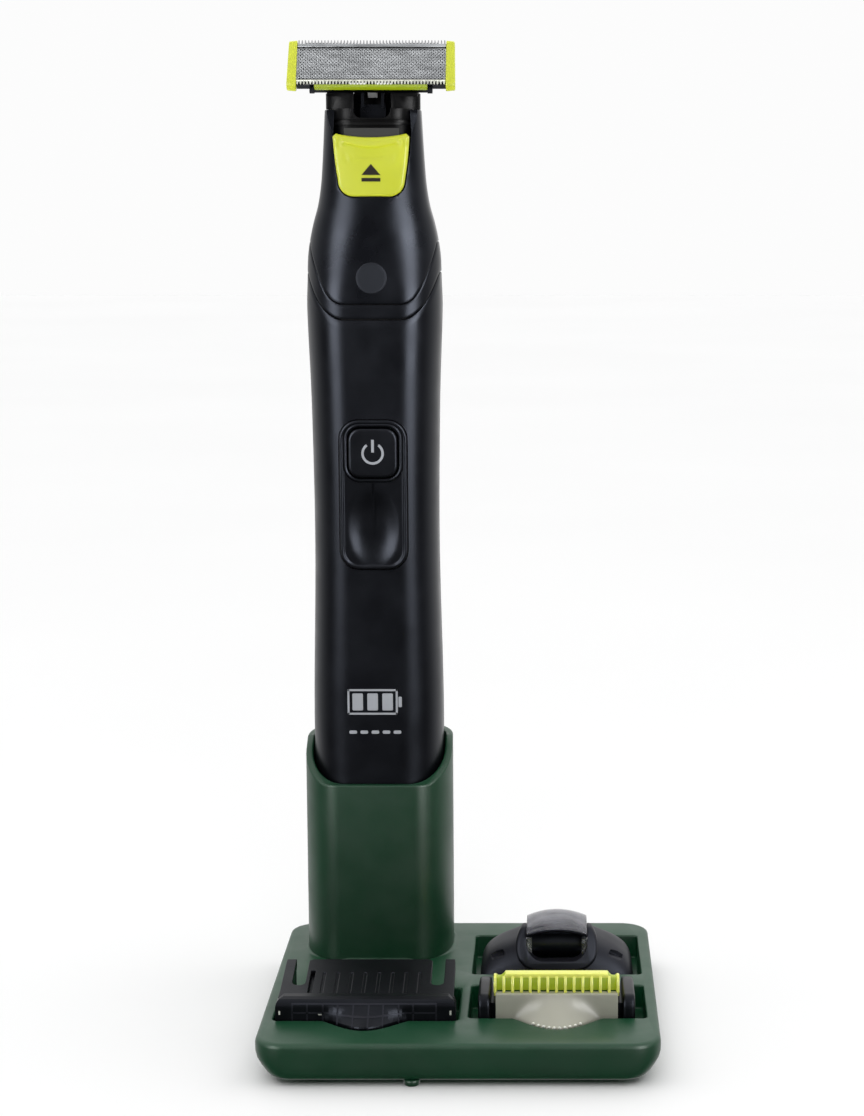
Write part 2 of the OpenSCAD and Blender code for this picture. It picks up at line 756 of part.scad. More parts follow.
module pivot_bracket() {
    color([0.12, 0.12, 0.13])
    at_head()
        difference() {
            union() {
                block([-6.9, 6.9], [-3.4, -2.2], [-1.4, 3.4]);
                for (x = [-6.9, 5.9]) {
                    block([x, x + 1], [-3, 0], [-1.4, 1.4]);
                    rod_x(0, 0, x, x + 1, 1.4);
                }
            }
            rod_x(0, 0, -12, 12, head_pin_r + run_gap);
        }
}
module blade_frame() {
    color([0.1, 0.1, 0.11])
    at_head()
        difference() {
            union() {
                block([-blade_len / 2 + cap_len, blade_len / 2 - cap_len], [-5.1, -3.4], [-4.2, 5.2]);
                block([-12.4, 12.4], [-5.1, -3.6], [-5.2, -4.1]);
                for (s = [-1, 1]) translate([s * 11.9, 0, 0]) block([-0.5, 0.5], [-5.1, -4.4], [-5.9, -5.1]);
            }
            block([-4.5, 4.5], [-6, -3], [-4.5, -1.6]);
            for (s = [-1, 1]) translate([s * 9.6, 0, 0]) block([-3, 3], [-6, -3], [-3.4, 3.4]);
        }
}
module blade_end_caps() {
    color([0.84, 0.88, 0.2])
    at_head()
        for (s = [-1, 1])
            translate([s * (blade_len - cap_len) / 2, 0, 0])
                along_x(-cap_len / 2, cap_len)
                    translate([-5.3, 0]) polygon(rounded(2.6, foil_h + 0.2, 0.8));
}
// Plate outline with square teeth along its top and bottom edges; each edge is [plate, tip].
function tooth_row(x, pitch, edge) = [
    [x, edge[0]],
    [x + pitch / 4, edge[0]],
    [x + pitch / 4, edge[1]],
    [x + pitch * 3 / 4, edge[1]],
    [x + pitch * 3 / 4, edge[0]]
];
function toothed(half, bottom, top, count) =
    let (pitch = 2 * half / count)
    concat(
        [for (i = [0:count - 1]) each tooth_row(-half + pitch * i, pitch, bottom)],
        [[half, bottom[0]]],
        [for (i = [0:count - 1]) each tooth_row(half - pitch * i, -pitch, top)],
        [[-half, top[0]]]
    );
module guard_foil() {
    half = blade_len / 2 - cap_len;
    color([0.78, 0.79, 0.8])
    at_head()
        upright(-foil_reach, 0.3)
            polygon(toothed(half, [-4, -4.8], [foil_h / 2 - 0.9, foil_h / 2], tooth_count));
}
module foil_lip() {
    color([0.8, 0.85, 0.2])
    at_head() block([-11.4, 11.4], [-6.3, -5.2], [-5.5, -4.9]);
}
module cutter_blade() {
    color([0.65, 0.66, 0.68])
    at_head()
        upright(-foil_reach + 0.5, 0.3)
            polygon(toothed(13.6, [-4, -4.6], [foil_h / 2 - 1, foil_h / 2 - 0.3], 40));
}
module drive_bridge() {
    color([0.5, 0.5, 0.52])
    at_head() block([-0.95, 0.95], [-foil_reach + 0.8, 0.3], [-4, -2.6]);
}

// ---------- stored attachments ----------

module stubble_comb() {
    cx = comb_pocket[0];
    half = comb_pocket[1] - fit_gap;
    front = comb_pocket[2] + fit_gap;
    back = -7.5;
    low = pocket_floor + fit_gap;
    pitch = 2.67;
    color([0.07, 0.07, 0.075])
    difference() {
        union() {
            block([cx - 15.2, cx + 15.2], [front, front + 1.8], [low, 13.7]);
            block([cx - 15.4, cx + 15.4], [front + 0.3, front + 1.5], [13.2, 14.3]);
            block([cx - 11.4, cx + 11.4], [front + 1, back], [12.3, 13.7]);
            block([cx - 15.4, cx + 15.4], [front + 1, -18.6], [12.3, 13.7]);
            block([cx - 11.4, cx + 11.4], [back - 0.8, back], [11.2, 14.1]);
            for (s = [-1, 1])
                translate([cx + s * (half - 1.3), 0, 0])
                    along_x(-1.3, 2.6)
                        polygon(concat(
                            [[back, low], [back, 8.2], [front + 5.6, 8.2], [front + 4.4, 12.2]],
                            arc(front + 3, 9.6, 3, 90, 180, 8),
                            [[front, low]]
                        ));
            for (s = [-1, 1])
                translate([cx + s * 14.6, 0, 0])
                    along_x(-0.8, 1.6)
                        polygon([[-19, 8], [-19, 12], [-15.6, 13.4], [back, 15], [back, 8]]);
            translate([0, 0, low]) linear_extrude(6.4) notch_outline(comb_pocket, 0.6);
        }
        for (i = [0:comb_slots - 1])
            translate([cx + (i - (comb_slots - 1) / 2) * pitch, 0, 0])
                block([-0.45, 0.45], [front + 2.6, -9.4], [12.9, 15]);
        for (i = [0:comb_slots - 2])
            for (z = [10.6, 12.2])
                translate([cx + (i - (comb_slots - 2) / 2) * pitch, 0, z - 1.4])
                    block([-1.05, 1.05], [front - 0.1, front + 0.8], [0.8, 2.1]);
        for (s = [-1, 1]) translate([cx + s * 12.6, front, 0]) block([-1.2, 1.2], [-0.1, 2.4], [8.6, 11]);
        translate([cx, front, 5]) cube([2, 0.6, 0.6], center = true);
    }
}
module comb_insert() {
    color([0.8, 0.8, 0.82])
    for (s = [-1, 1])
        rod_x(-16.4, 11.2, comb_pocket[0] + s * 12.6 - 1.2, comb_pocket[0] + s * 12.6 + 1.2, 0.7);
}

// Stations across the cap: [distance from its middle, height of the arch there].
CAP_ARCH = [[-16, 7.6], [-15.2, 9.8], [-14.2, 11.4], [-11.2, 13.6], [-8, 15.5],
    [8, 15.5], [11.2, 13.6], [14.2, 11.4], [15.2, 9.8], [16, 7.6]];
cap_mid_y = 15.7;
cap_half_y = 10.4;
function cap_ring(x, top, low, inset) = [
    for (i = [0:20])
        let (t = 180 - 9 * i, s = pow(sin(t), 0.8), c = cos(t))
        [
            cap_pocket[0] + x,
            cap_mid_y - (cap_half_y - inset) * sign(c) * pow(abs(c), 0.8),
            low + (top - inset - low) * s
        ]
];
module cap_solid(inset, low) {
    reach = (16 - inset) / 16;
    loft([for (a = CAP_ARCH) cap_ring(a[0] * reach, a[1], low, inset)]);
}
module cap_shell() {
    low = pocket_floor + fit_gap;
    color([0.23, 0.22, 0.26])
    difference() {
        cap_solid(0, low);
        cap_solid(1.4, low - 1);
        block([cap_pocket[0] - 6.6, cap_pocket[0] + 6.6], [4, 19.4], [10.2, 20]);
        upright(4, 3.75) translate([cap_pocket[0], 13.1]) polygon(rounded(16.6, 9.8, 4.5));
    }
    color([0.23, 0.22, 0.26])
    for (x = [cap_pocket[0] - 7.6, cap_pocket[0] + 6.6]) block([x, x + 1], [7.9, 18], [low, 13.6]);
}
module cap_bezel() {
    color([0.07, 0.07, 0.08])
    upright(4.6, 3) translate([cap_pocket[0], 0])
        difference() {
            intersection() {
                translate([0, 13.1]) polygon(rounded(16.4, 9.6, 4.4));
                translate([-9, 0]) square([18, 15.2]);
            }
            translate([0, 17.3]) polygon(rounded(12.7, 14, 3.4));
        }
}
module cap_window() {
    color([0.35, 0.34, 0.36, 0.6])
    along_x(cap_pocket[0] - 6.3, 12.6)
        polygon(concat(arc(11.9, 11.9, 7, 10, 170, 18), arc(11.9, 11.9, 6, 170, 10, 18)));
}
module cap_roller() {
    color([0.05, 0.05, 0.06])
    {
        rod_x(12.4, 12.4, cap_pocket[0] - 5.8, cap_pocket[0] + 5.8, 3.4);
        rod_x(12.4, 12.4, cap_pocket[0] - 6.6, cap_pocket[0] + 6.6, 0.8);
    }
}
module cap_clips() {
    color([0.8, 0.8, 0.82])
    for (s = [-1, 1])
        translate([cap_pocket[0] + s * 5.9, 0, 0]) block([-0.7, 0.7], [7.8, 8.8], [10.6, 14.4]);
}

module guard_frame() {
    low = pocket_floor + fit_gap;
    color([0.08, 0.08, 0.085]) {
        for (x = [3.5, 31.9])
            along_x(x, 2.4)
                polygon(concat(
                    [[-6, low], [-6, 11], [-12, 14]],
                    arc(-20.6, 11.6, 2.4, 90, 180, 8),
                    [[-23, low]]
                ));
        block([5.8, 32], [-7.6, -6], [low, 5.2]);
        for (x = [5.8, 30.9]) block([x, x + 1.1], [-21.4, -8], [low, 11]);
    }
}
module guard_comb() {
    pitch = 1.72;
    span = (rib_count + 1) * pitch / 2;
    color([0.82, 0.87, 0.2])
    translate([18.9, 0, 0]) {
        block([-12.2, 12.2], [-21.4, -19.4], [11.3, 15.8]);
        block([-11.4, 11.4], [-21, -18.4], [15.2, 16.6]);
        for (i = [0:rib_count + 1])
            translate([i * pitch - span, 0, 0])
                along_x(-0.3, 0.6)
                    polygon([
                        [-22.6, 13.1], [-22.6, 15.6], [-21.6, 16.3], [-18.8, 16.3], [-9, 12.4], [-9, 11.4],
                        [-21.4, 11.4], [-21.4, 13.1]
                    ]);
    }
}
module guard_plate() {
    low = pocket_floor + fit_gap;
    tip_pitch = 1.25;
    tip_r = 0.42;
    tip_inset = 1.3;
    color([0.74, 0.73, 0.69])
    union() {
        block([7, 30.9], [-23.4, -21.5], [low, 13]);
        translate([0, 0, low]) linear_extrude(4.4) notch_outline(guard_pocket, 0.6);
        for (i = [0:tip_count - 1])
            let (dx = (i - (tip_count - 1) / 2) * tip_pitch)
            translate([
                guard_pocket[0] + dx,
                guard_pocket[2] + tip_inset - guard_pocket[5] * bell(dx / guard_pocket[4]),
                low
            ])
                cylinder(h = 4.6, r = tip_r, $fn = 20);
    }
}

base_tray();
tower_sleeve();
base_cover();
ballast_plate();
cover_screws();
rubber_feet();
well_pad();
front_shell();
rear_shell();
collar_band();
neck_shell();
badge_disc();
end_cap();
charge_socket();
contact_pins();
battery_cell();
battery_tabs();
chassis();
circuit_board();
tact_switch();
charge_leds();
motor_can();
motor_mount();
lever_carrier();
lever_pin();
drive_seal();
eject_guide();
eject_spring();
switch_panel();
printed_marks();
case_screws();
power_button();
power_symbol();
eject_button();
eject_symbol();
motor_shaft();
eccentric();
drive_lever();
cartridge_base();
pivot_bracket();
pivot_pins();
return_leaf();
blade_frame();
blade_end_caps();
guard_foil();
foil_lip();
cutter_blade();
drive_bridge();
stubble_comb();
comb_insert();
cap_shell();
cap_bezel();
cap_window();
cap_roller();
cap_clips();
guard_frame();
guard_comb();
guard_plate();
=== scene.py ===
"""Beard trimmer in its storage stand: the looks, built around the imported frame."""
import json
import math
import bmesh
import bpy
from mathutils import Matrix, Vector


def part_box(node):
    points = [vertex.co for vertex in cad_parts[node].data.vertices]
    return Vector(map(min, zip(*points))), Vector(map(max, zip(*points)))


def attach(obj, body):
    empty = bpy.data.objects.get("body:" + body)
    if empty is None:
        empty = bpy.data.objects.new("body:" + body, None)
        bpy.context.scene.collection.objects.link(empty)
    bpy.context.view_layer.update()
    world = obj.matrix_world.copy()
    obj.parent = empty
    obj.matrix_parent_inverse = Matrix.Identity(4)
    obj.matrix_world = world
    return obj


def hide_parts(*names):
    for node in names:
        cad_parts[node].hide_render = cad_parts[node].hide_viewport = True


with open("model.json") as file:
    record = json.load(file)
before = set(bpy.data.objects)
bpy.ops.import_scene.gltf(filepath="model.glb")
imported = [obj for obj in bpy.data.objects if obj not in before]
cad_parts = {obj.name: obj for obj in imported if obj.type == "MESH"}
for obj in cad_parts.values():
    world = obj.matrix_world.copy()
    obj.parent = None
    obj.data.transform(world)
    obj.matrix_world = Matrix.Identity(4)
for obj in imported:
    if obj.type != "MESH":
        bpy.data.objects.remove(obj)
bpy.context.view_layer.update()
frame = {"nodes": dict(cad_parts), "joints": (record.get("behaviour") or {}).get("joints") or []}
nodes = frame["nodes"]
MM = 0.001


# ---------- places, in millimetres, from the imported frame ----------

def low(node):
    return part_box(node)[0] / MM


def high(node):
    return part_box(node)[1] / MM


def mid_x(node):
    return (low(node).x + high(node).x) / 2


def half_x(node):
    return (high(node).x - low(node).x) / 2


def joint(name):
    return next(j for j in frame["joints"] if j["name"] == name)


PIVOT = Vector(joint("blade_pitch")["pos_m"]) / MM
AXIS_X = PIVOT.x
FRONT_DEPTH = 11.4
AXIS_Y = (low("rear_shell").y + low("front_shell").y) / 2 + FRONT_DEPTH / 2
HANDLE_LOW = low("front_shell").z
LEAN = math.radians(30)


# ---------- materials ----------

def srgb(r, g, b):
    def linear(c):
        c /= 255
        return c / 12.92 if c <= 0.04045 else ((c + 0.055) / 1.055) ** 2.4
    return (linear(r), linear(g), linear(b), 1)


def new_material(name):
    material = bpy.data.materials.new(name)
    material.use_nodes = True
    tree = material.node_tree
    return material, tree, tree.nodes["Principled BSDF"]


def set_inputs(node, values):
    for name, value in values.items():
        node.inputs[name].default_value = value


def noise(tree, scale, detail=3.0, stretch=(1, 1, 1)):
    where = tree.nodes.new("ShaderNodeTexCoord")
    mapping = tree.nodes.new("ShaderNodeMapping")
    set_inputs(mapping, {"Scale": stretch})
    texture = tree.nodes.new("ShaderNodeTexNoise")
    set_inputs(texture, {"Scale": scale, "Detail": detail})
    tree.links.new(where.outputs["Object"], mapping.inputs["Vector"])
    tree.links.new(mapping.outputs["Vector"], texture.inputs["Vector"])
    return texture.outputs["Fac"]


def ramp(tree, value, first, last, start=0.35, end=0.65):
    node = tree.nodes.new("ShaderNodeValToRGB")
    node.color_ramp.elements[0].position = start
    node.color_ramp.elements[0].color = first
    node.color_ramp.elements[1].position = end
    node.color_ramp.elements[1].color = last
    tree.links.new(value, node.inputs["Fac"])
    return node.outputs["Color"]


def spread(tree, value, lowest, highest):
    node = tree.nodes.new("ShaderNodeMapRange")
    set_inputs(node, {"From Min": 0.3, "From Max": 0.7, "To Min": lowest, "To Max": highest})
    tree.links.new(value, node.inputs["Value"])
    return node.outputs["Result"]


def bump(tree, shader, value, strength, distance):
    node = tree.nodes.new("ShaderNodeBump")
    set_inputs(node, {"Strength": strength, "Distance": distance})
    tree.links.new(value, node.inputs["Height"])
    tree.links.new(node.outputs["Normal"], shader.inputs["Normal"])


def shade(color, factor):
    return tuple(min(1, c * factor) for c in color[:3]) + (1,)


def moulded(name, color, rough=0.42, grain=2600, grain_depth=0.00002, variety=0.12, specular=0.5,
            grain_strength=0.25, tint=(1, 1, 1, 1)):
    """Moulded plastic: a fine spark-eroded grain, slow colour drift and uneven gloss."""
    material, tree, shader = new_material(name)
    drift = noise(tree, 45)
    tree.links.new(ramp(tree, drift, shade(color, 1 - variety), shade(color, 1 + variety)),
                   shader.inputs["Base Color"])
    tree.links.new(spread(tree, noise(tree, 160), rough - 0.04, rough + 0.04), shader.inputs["Roughness"])
    set_inputs(shader, {"Specular IOR Level": specular, "Specular Tint": tint})
    bump(tree, shader, noise(tree, grain, 2), grain_strength, grain_depth)
    return material


def soft_plastic(name, color, rough, scatter, radius):
    """Dyed plastic that lets a little light in."""
    material = moulded(name, color, rough, variety=0.05, grain_strength=0.03)
    shader = material.node_tree.nodes["Principled BSDF"]
    set_inputs(shader, {"Subsurface Weight": scatter, "Subsurface Radius": radius, "Subsurface Scale": MM})
    return material


def metal(name, color, rough, stretch=(1, 1, 1), scale=900):
    """Metal with fine drawing marks along one direction."""
    material, tree, shader = new_material(name)
    marks = noise(tree, scale, 4, stretch)
    tree.links.new(ramp(tree, marks, shade(color, 0.82), shade(color, 1.1)), shader.inputs["Base Color"])
    tree.links.new(spread(tree, marks, rough - 0.06, rough + 0.08), shader.inputs["Roughness"])
    shader.inputs["Metallic"].default_value = 1
    bump(tree, shader, marks, 0.15, 0.00001)
    return material


def clear_plastic(name, color, rough, weight):
    """Tinted see-through plastic, slightly clouded."""
    material, tree, shader = new_material(name)
    drift = noise(tree, 260)
    tree.links.new(ramp(tree, drift, shade(color, 0.8), shade(color, 1.15)), shader.inputs["Base Color"])
    tree.links.new(spread(tree, drift, rough, rough + 0.08), shader.inputs["Roughness"])
    set_inputs(shader, {"Transmission Weight": weight, "IOR": 1.45})
    return material


# Tint of the gloss on the black plastics, slightly blue.
COOL = (0.76, 0.83, 1, 1)
GREEN = moulded("stand_green", srgb(8, 65, 38), 0.4, variety=0.06, specular=0.38)
BLACK = moulded("handle_black", srgb(10, 10, 14), 0.33, grain=3200, specular=0.3, tint=COOL)
GLOSS = moulded("neck_black", srgb(4, 4, 8), 0.3, grain=1500, grain_strength=0.08, specular=0.34,
                tint=COOL)
COLLAR = moulded("collar_black", srgb(8, 8, 12), 0.33, grain=2600, specular=0.28, tint=COOL)
BADGE = moulded("badge_black", srgb(12, 12, 15), 0.5, grain=1500, specular=0.3, tint=COOL)
PANEL = moulded("panel_black", srgb(10, 10, 13), 0.32, grain=3000, specular=0.3, tint=COOL)
COMB_BLACK = moulded("comb_black", srgb(6, 6, 9), 0.36, grain=1800, specular=0.18, tint=COOL)
BLOCK = moulded("block_black", srgb(5, 5, 8), 0.38, specular=0.14)
CHARCOAL = moulded("cap_charcoal", srgb(25, 24, 30), 0.46, grain=2400, specular=0.22, tint=COOL)
LIME = soft_plastic("lime_plastic", srgb(234, 242, 50), 0.36, 0.12, (1.0, 0.8, 0.2))
LIME_CAP = moulded("lime_cap", srgb(234, 242, 60), 0.4, grain_strength=0.02, variety=0.04, specular=0.4)
# Darker and paler copies of the lime. The darker one is painted shade on the guard's web between the ribs and
# also colours the foil's lip. The paler one is painted light on the guard's thin ribs.
LIME_DARKER = soft_plastic("lime_darker_web_shade", srgb(172, 192, 24), 0.4, 0.12, (1.0, 0.8, 0.2))
LIME_LIT = soft_plastic("lime_rib_painted_light", srgb(246, 250, 112), 0.3, 0.12, (1.0, 0.8, 0.2))
RUBBER = moulded("foot_rubber", srgb(24, 24, 25), 0.75, grain=900, grain_depth=0.00006)
INNER = moulded("inner_plastic", srgb(24, 24, 27), 0.5)
DARK = moulded("groove_dark", srgb(8, 8, 10), 0.5, specular=0.2)
WHITE = moulded("white_plastic", srgb(215, 214, 208), 0.4, variety=0.04)
GREY_TAB = moulded("drive_grey", srgb(170, 170, 170), 0.4)
PRINT = moulded("print_grey", srgb(176, 180, 188), 0.5, variety=0.05)
ICON = moulded("icon_dark", srgb(40, 30, 14), 0.5, specular=0.2)
MILKY = soft_plastic("milky_plastic", srgb(178, 177, 163), 0.4, 0.3, (1.0, 1.0, 0.9))
# Bright white as a painted highlight: on the guard's tooth tips and as the comb's small glint dots.
TIP_GLINT = soft_plastic("tip_white_painted_glint", srgb(238, 238, 226), 0.35, 0.3, (1.0, 1.0, 0.9))
STEEL = metal("plain_steel", (0.62, 0.62, 0.64, 1), 0.3)
FOIL = metal("foil_steel", (0.31, 0.32, 0.33, 1), 0.4, (0.3, 1, 1))
RACK = metal("rack_steel", (0.6, 0.61, 0.54, 1), 0.4)
TEETH = metal("tooth_steel", (0.36, 0.36, 0.37, 1), 0.4)
CUTTER = metal("cutter_steel", (0.27, 0.27, 0.28, 1), 0.45)
GOLD = metal("contact_gold", (0.85, 0.62, 0.26, 1), 0.25)
WRAP = moulded("battery_wrap", srgb(30, 96, 150), 0.25)
BOARD = moulded("board_green", srgb(16, 70, 40), 0.3)
SMOKE = clear_plastic("smoky_clear", (0.34, 0.34, 0.38, 1), 0.1, 0.8)
CLEAR = clear_plastic("water_clear", (0.85, 0.87, 0.9, 1), 0.05, 0.9)

# The CAD nodes that show as they are.
CAD_LOOKS = {
    STEEL: ["ballast_plate", "cover_screws", "motor_can", "lever_pin", "eject_spring", "case_screws",
            "motor_shaft", "pivot_pins", "return_leaf", "battery_tabs"],
    RUBBER: ["rubber_feet", "well_pad", "drive_seal"],
    INNER: ["charge_socket", "chassis", "tact_switch", "motor_mount", "lever_carrier", "eject_guide"],
    GLOSS: ["cap_roller", "pivot_bracket", "blade_frame", "drive_lever"],
    BLACK: ["end_cap"],
    PRINT: ["power_symbol"],
    ICON: ["eject_symbol"],
    GOLD: ["contact_pins"],
    WRAP: ["battery_cell"],
    BOARD: ["circuit_board"],
    WHITE: ["charge_leds", "eccentric"],
    GREY_TAB: ["drive_bridge"],
    CUTTER: ["cutter_blade"],
    FOIL: ["comb_insert"],
    GREEN: ["base_cover"],
    CLEAR: ["cap_clips"],
}


def dress(obj, material):
    obj.data.materials.clear()
    obj.data.materials.append(material)


for look, names in CAD_LOOKS.items():
    for node in names:
        dress(nodes[node], look)


# ---------- mesh helpers ----------

def to_object(name, bm):
    mesh = bpy.data.meshes.new(name)
    bm.to_mesh(mesh)
    bm.free()
    obj = bpy.data.objects.new(name, mesh)
    bpy.context.scene.collection.objects.link(obj)
    return obj


def link_mesh(name, bm):
    bmesh.ops.remove_doubles(bm, verts=bm.verts, dist=1e-7)
    bmesh.ops.recalc_face_normals(bm, faces=bm.faces)
    return to_object(name, bm)


def solid(name, points, faces):
    """A mesh object from points in millimetres."""
    bm = bmesh.new()
    verts = [bm.verts.new(Vector(p) * MM) for p in points]
    for face in faces:
        bm.faces.new([verts[i] for i in face])
    return link_mesh(name, bm)


def bevelled(obj, width, segments=3, angle=32):
    if width > 0:
        modifier = obj.modifiers.new("edge_round", "BEVEL")
        modifier.width = width * MM
        modifier.segments = segments
        modifier.limit_method = "ANGLE"
        modifier.angle_limit = math.radians(angle)
        modifier.harden_normals = False
    return obj


def apply_modifiers(obj):
    if not obj.modifiers:
        return obj
    graph = bpy.context.evaluated_depsgraph_get()
    mesh = bpy.data.meshes.new_from_object(obj.evaluated_get(graph))
    obj.modifiers.clear()
    obj.data = mesh
    return obj


def finish_piece(obj, material, body, *replaced, smooth=40):
    """Smooth shading with crisp edges, a material and a body, in place of CAD nodes."""
    apply_modifiers(obj)
    obj.data.shade_smooth()
    obj.data.set_sharp_from_angle(angle=math.radians(smooth))
    dress(obj, material)
    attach(obj, body)
    for node in replaced:
        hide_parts(node)
    return obj


def refined(node, material, body, width=0.3, segments=3, angle=32, smooth=40):
    """A CAD node's shape again, with its flat faces merged and its edges rounded."""
    bm = bmesh.new()
    bm.from_mesh(nodes[node].data)
    bmesh.ops.remove_doubles(bm, verts=bm.verts, dist=1e-6)
    bmesh.ops.dissolve_limit(bm, angle_limit=math.radians(0.6), verts=bm.verts, edges=bm.edges)
    obj = link_mesh(node + "_look", bm)
    bevelled(obj, width, segments, angle)
    return finish_piece(obj, material, body, node, smooth=smooth)


def grid_faces(rows, cols, ring):
    last = cols if ring else cols - 1
    return [(j * cols + k, j * cols + (k + 1) % cols, (j + 1) * cols + (k + 1) % cols, (j + 1) * cols + k)
            for j in range(rows - 1) for k in range(last)]


def thick_wall(name, outer, inner, ring=False):
    """A wall between two grids of points, closed at its edges."""
    rows, cols = len(outer), len(outer[0])
    shift = rows * cols
    points = [p for row in outer + inner for p in row]
    faces = grid_faces(rows, cols, ring)
    faces += [tuple(i + shift for i in reversed(f)) for f in grid_faces(rows, cols, ring)]
    last = cols if ring else cols - 1
    for j in (0, rows - 1):
        faces += [(j * cols + k, j * cols + (k + 1) % cols, shift + j * cols + (k + 1) % cols,
                   shift + j * cols + k) for k in range(last)]
    if not ring:
        for k in (0, cols - 1):
            faces += [(j * cols + k, (j + 1) * cols + k, shift + (j + 1) * cols + k, shift + j * cols + k)
                      for j in range(rows - 1)]
    return solid(name, points, faces)


def loft(name, rings):
    """A closed solid through a stack of rings."""
    rows, cols = len(rings), len(rings[0])
    faces = grid_faces(rows, cols, True)
    faces += [tuple(range(cols)), tuple(range((rows - 1) * cols, rows * cols))]
    return solid(name, [p for ring in rings for p in ring], faces)


def prism(name, outline, place, depth):
    """An outline pushed along a depth; place turns (a, b, depth) into a point."""
    return loft(name, [[place(a, b, d) for a, b in outline] for d in (0, depth)])


def boolean(obj, tool, operation="DIFFERENCE"):
    modifier = obj.modifiers.new("cut", "BOOLEAN")
    modifier.operation = operation
    modifier.solver = "EXACT"
    modifier.object = tool
    apply_modifiers(obj)
    bpy.data.objects.remove(tool)
    return obj


def join(name, parts):
    """One object from several separate closed solids."""
    bm = bmesh.new()
    for part in parts:
        apply_modifiers(part)
        bm.from_mesh(part.data)
        bpy.data.objects.remove(part)
    return to_object(name, bm)


def arc(cx, cy, radius, start, end, steps):
    """Points along an arc, with angles in degrees."""
    angles = [math.radians(start + (end - start) * i / steps) for i in range(steps + 1)]
    return [(cx + radius * math.cos(t), cy + radius * math.sin(t)) for t in angles]


def circle(radius, steps, cx=0.0, cy=0.0):
    angles = [2 * math.pi * i / steps for i in range(steps)]
    return [(cx + radius * math.cos(t), cy + radius * math.sin(t)) for t in angles]


def rounded(width, height, radius, steps=8, along=6):
    """A rounded rectangle about the origin, with points along its straight sides."""
    corners = [(1, 1, 0), (-1, 1, 90), (-1, -1, 180), (1, -1, 270)]
    points = []
    for i, (sx, sy, start) in enumerate(corners):
        cx, cy = sx * (width / 2 - radius), sy * (height / 2 - radius)
        turn = arc(cx, cy, radius, start, start + 90, steps)
        points += turn
        nx, ny, nstart = corners[(i + 1) % 4]
        nxt = (nx * (width / 2 - radius) + radius * math.cos(math.radians(nstart)),
               ny * (height / 2 - radius) + radius * math.sin(math.radians(nstart)))
        last = turn[-1]
        points += [(last[0] + (nxt[0] - last[0]) * t / along, last[1] + (nxt[1] - last[1]) * t / along)
                   for t in range(1, along)]
    return points


def clamp(t):
    return min(1, max(0, t))


def smoothstep(t):
    t = clamp(t)
    return t * t * (3 - 2 * t)


def eased(reach, steps):
    """Places from -reach to reach, closer together towards the ends."""
    return [reach * math.sin(math.radians(-90 + 180 * i / steps)) for i in range(steps + 1)]


def cubic(t, start, end, start_rise, end_rise):
    """A cubic between two values, with its rise over the span given at each."""
    return ((2 * t ** 3 - 3 * t ** 2 + 1) * start + (t ** 3 - 2 * t ** 2 + t) * start_rise
            + (3 * t ** 2 - 2 * t ** 3) * end + (t ** 3 - t ** 2) * end_rise)


# ---------- the handle's section ----------

# [height, half width, front half depth, back half depth]
STATIONS = [
    (20, 13.0, 11.0, 11.0),
    (40, 13.3, 11.3, 11.3),
    (60, 13.55, 11.3, 11.4),
    (95, 12.9, 11.3, 11.5),
    (125, 13.2, 11.4, 11.6),
    (144.5, 13.85, 11.4, 11.4),
    (150, 13.68, 11.0, 11.2),
    (154.5, 13.55, 10.4, 10.9),
    (158, 13.1, 9.9, 10.7),
    (161.5, 12.35, 9.3, 10.35),
    (165, 11.4, 8.75, 10.05),
    (169, 10.75, 8.2, 9.75),
    (174, 10.35, 7.8, 9.5),
    (183, 9.85, 7.4, 9.0),
]
WALL = 1.3
CORNER = 14
# Shares of the half width and half depth that are straight; the neck is rounder across.
FLAT_X = 0.4
FLAT_Y = 0.18
FLAT_STEPS = 10
NECK_ROUNDING = 0.26
ROUNDING_FROM, ROUNDING_SPAN = 146, 16


def station(z, column):
    """Cubic through the stations."""
    i = max(k for k in range(len(STATIONS) - 1) if k == 0 or STATIONS[k][0] < z)

    def slope(k):
        a, b = max(k - 1, 0), min(k + 1, len(STATIONS) - 1)
        return (STATIONS[b][column] - STATIONS[a][column]) / (STATIONS[b][0] - STATIONS[a][0])

    span = STATIONS[i + 1][0] - STATIONS[i][0]
    t = (z - STATIONS[i][0]) / span
    return cubic(t, STATIONS[i][column], STATIONS[i + 1][column], span * slope(i), span * slope(i + 1))


def corner(a, b, quadrant, flat=FLAT_X):
    sx = 1 if quadrant in (0, 3) else -1
    sy = 1 if quadrant < 2 else -1
    angles = [math.radians(90 * (quadrant + i / CORNER)) for i in range(CORNER + 1)]
    return [(sx * a * flat + a * (1 - flat) * math.cos(t), sy * b * FLAT_Y + b * (1 - FLAT_Y) * math.sin(t))
            for t in angles]


def flat_share(z):
    return FLAT_X - NECK_ROUNDING * smoothstep((z - ROUNDING_FROM) / ROUNDING_SPAN)


def section(z, inset, side):
    """Handle outline at a height: the front half, the back half or the whole ring."""
    a, front, back = (station(z, c) - inset for c in (1, 2, 3))
    seam = 0.06
    flat = flat_share(z)
    half = a * flat
    across = [half * (2 * i / FLAT_STEPS - 1) for i in range(1, FLAT_STEPS)]
    front_line = corner(a, front, 2, flat) + [(x, -front) for x in across] + corner(a, front, 3, flat)
    back_line = corner(a, back, 0, flat) + [(-x, back) for x in across] + corner(a, back, 1, flat)
    if side == "front":
        return [(-a, -seam)] + front_line + [(a, -seam)]
    if side == "back":
        return [(a, seam)] + back_line + [(-a, seam)]
    return back_line + front_line


def at_axis(point, z):
    return (AXIS_X + point[0], AXIS_Y + point[1], z)


BEND_HALF, BEND_LEVEL, BEND_POWER = 13.6, 0.35, 2.4
GROOVE_FRONT, GROOVE_RISE = 142.1, 9.2
NECK_FRONT, NECK_RISE = 145.3, 12.4
NECK_TOP = high("neck_shell").z + 0.25
RIM_RISE = 2.85
GUIDE_Z = 150


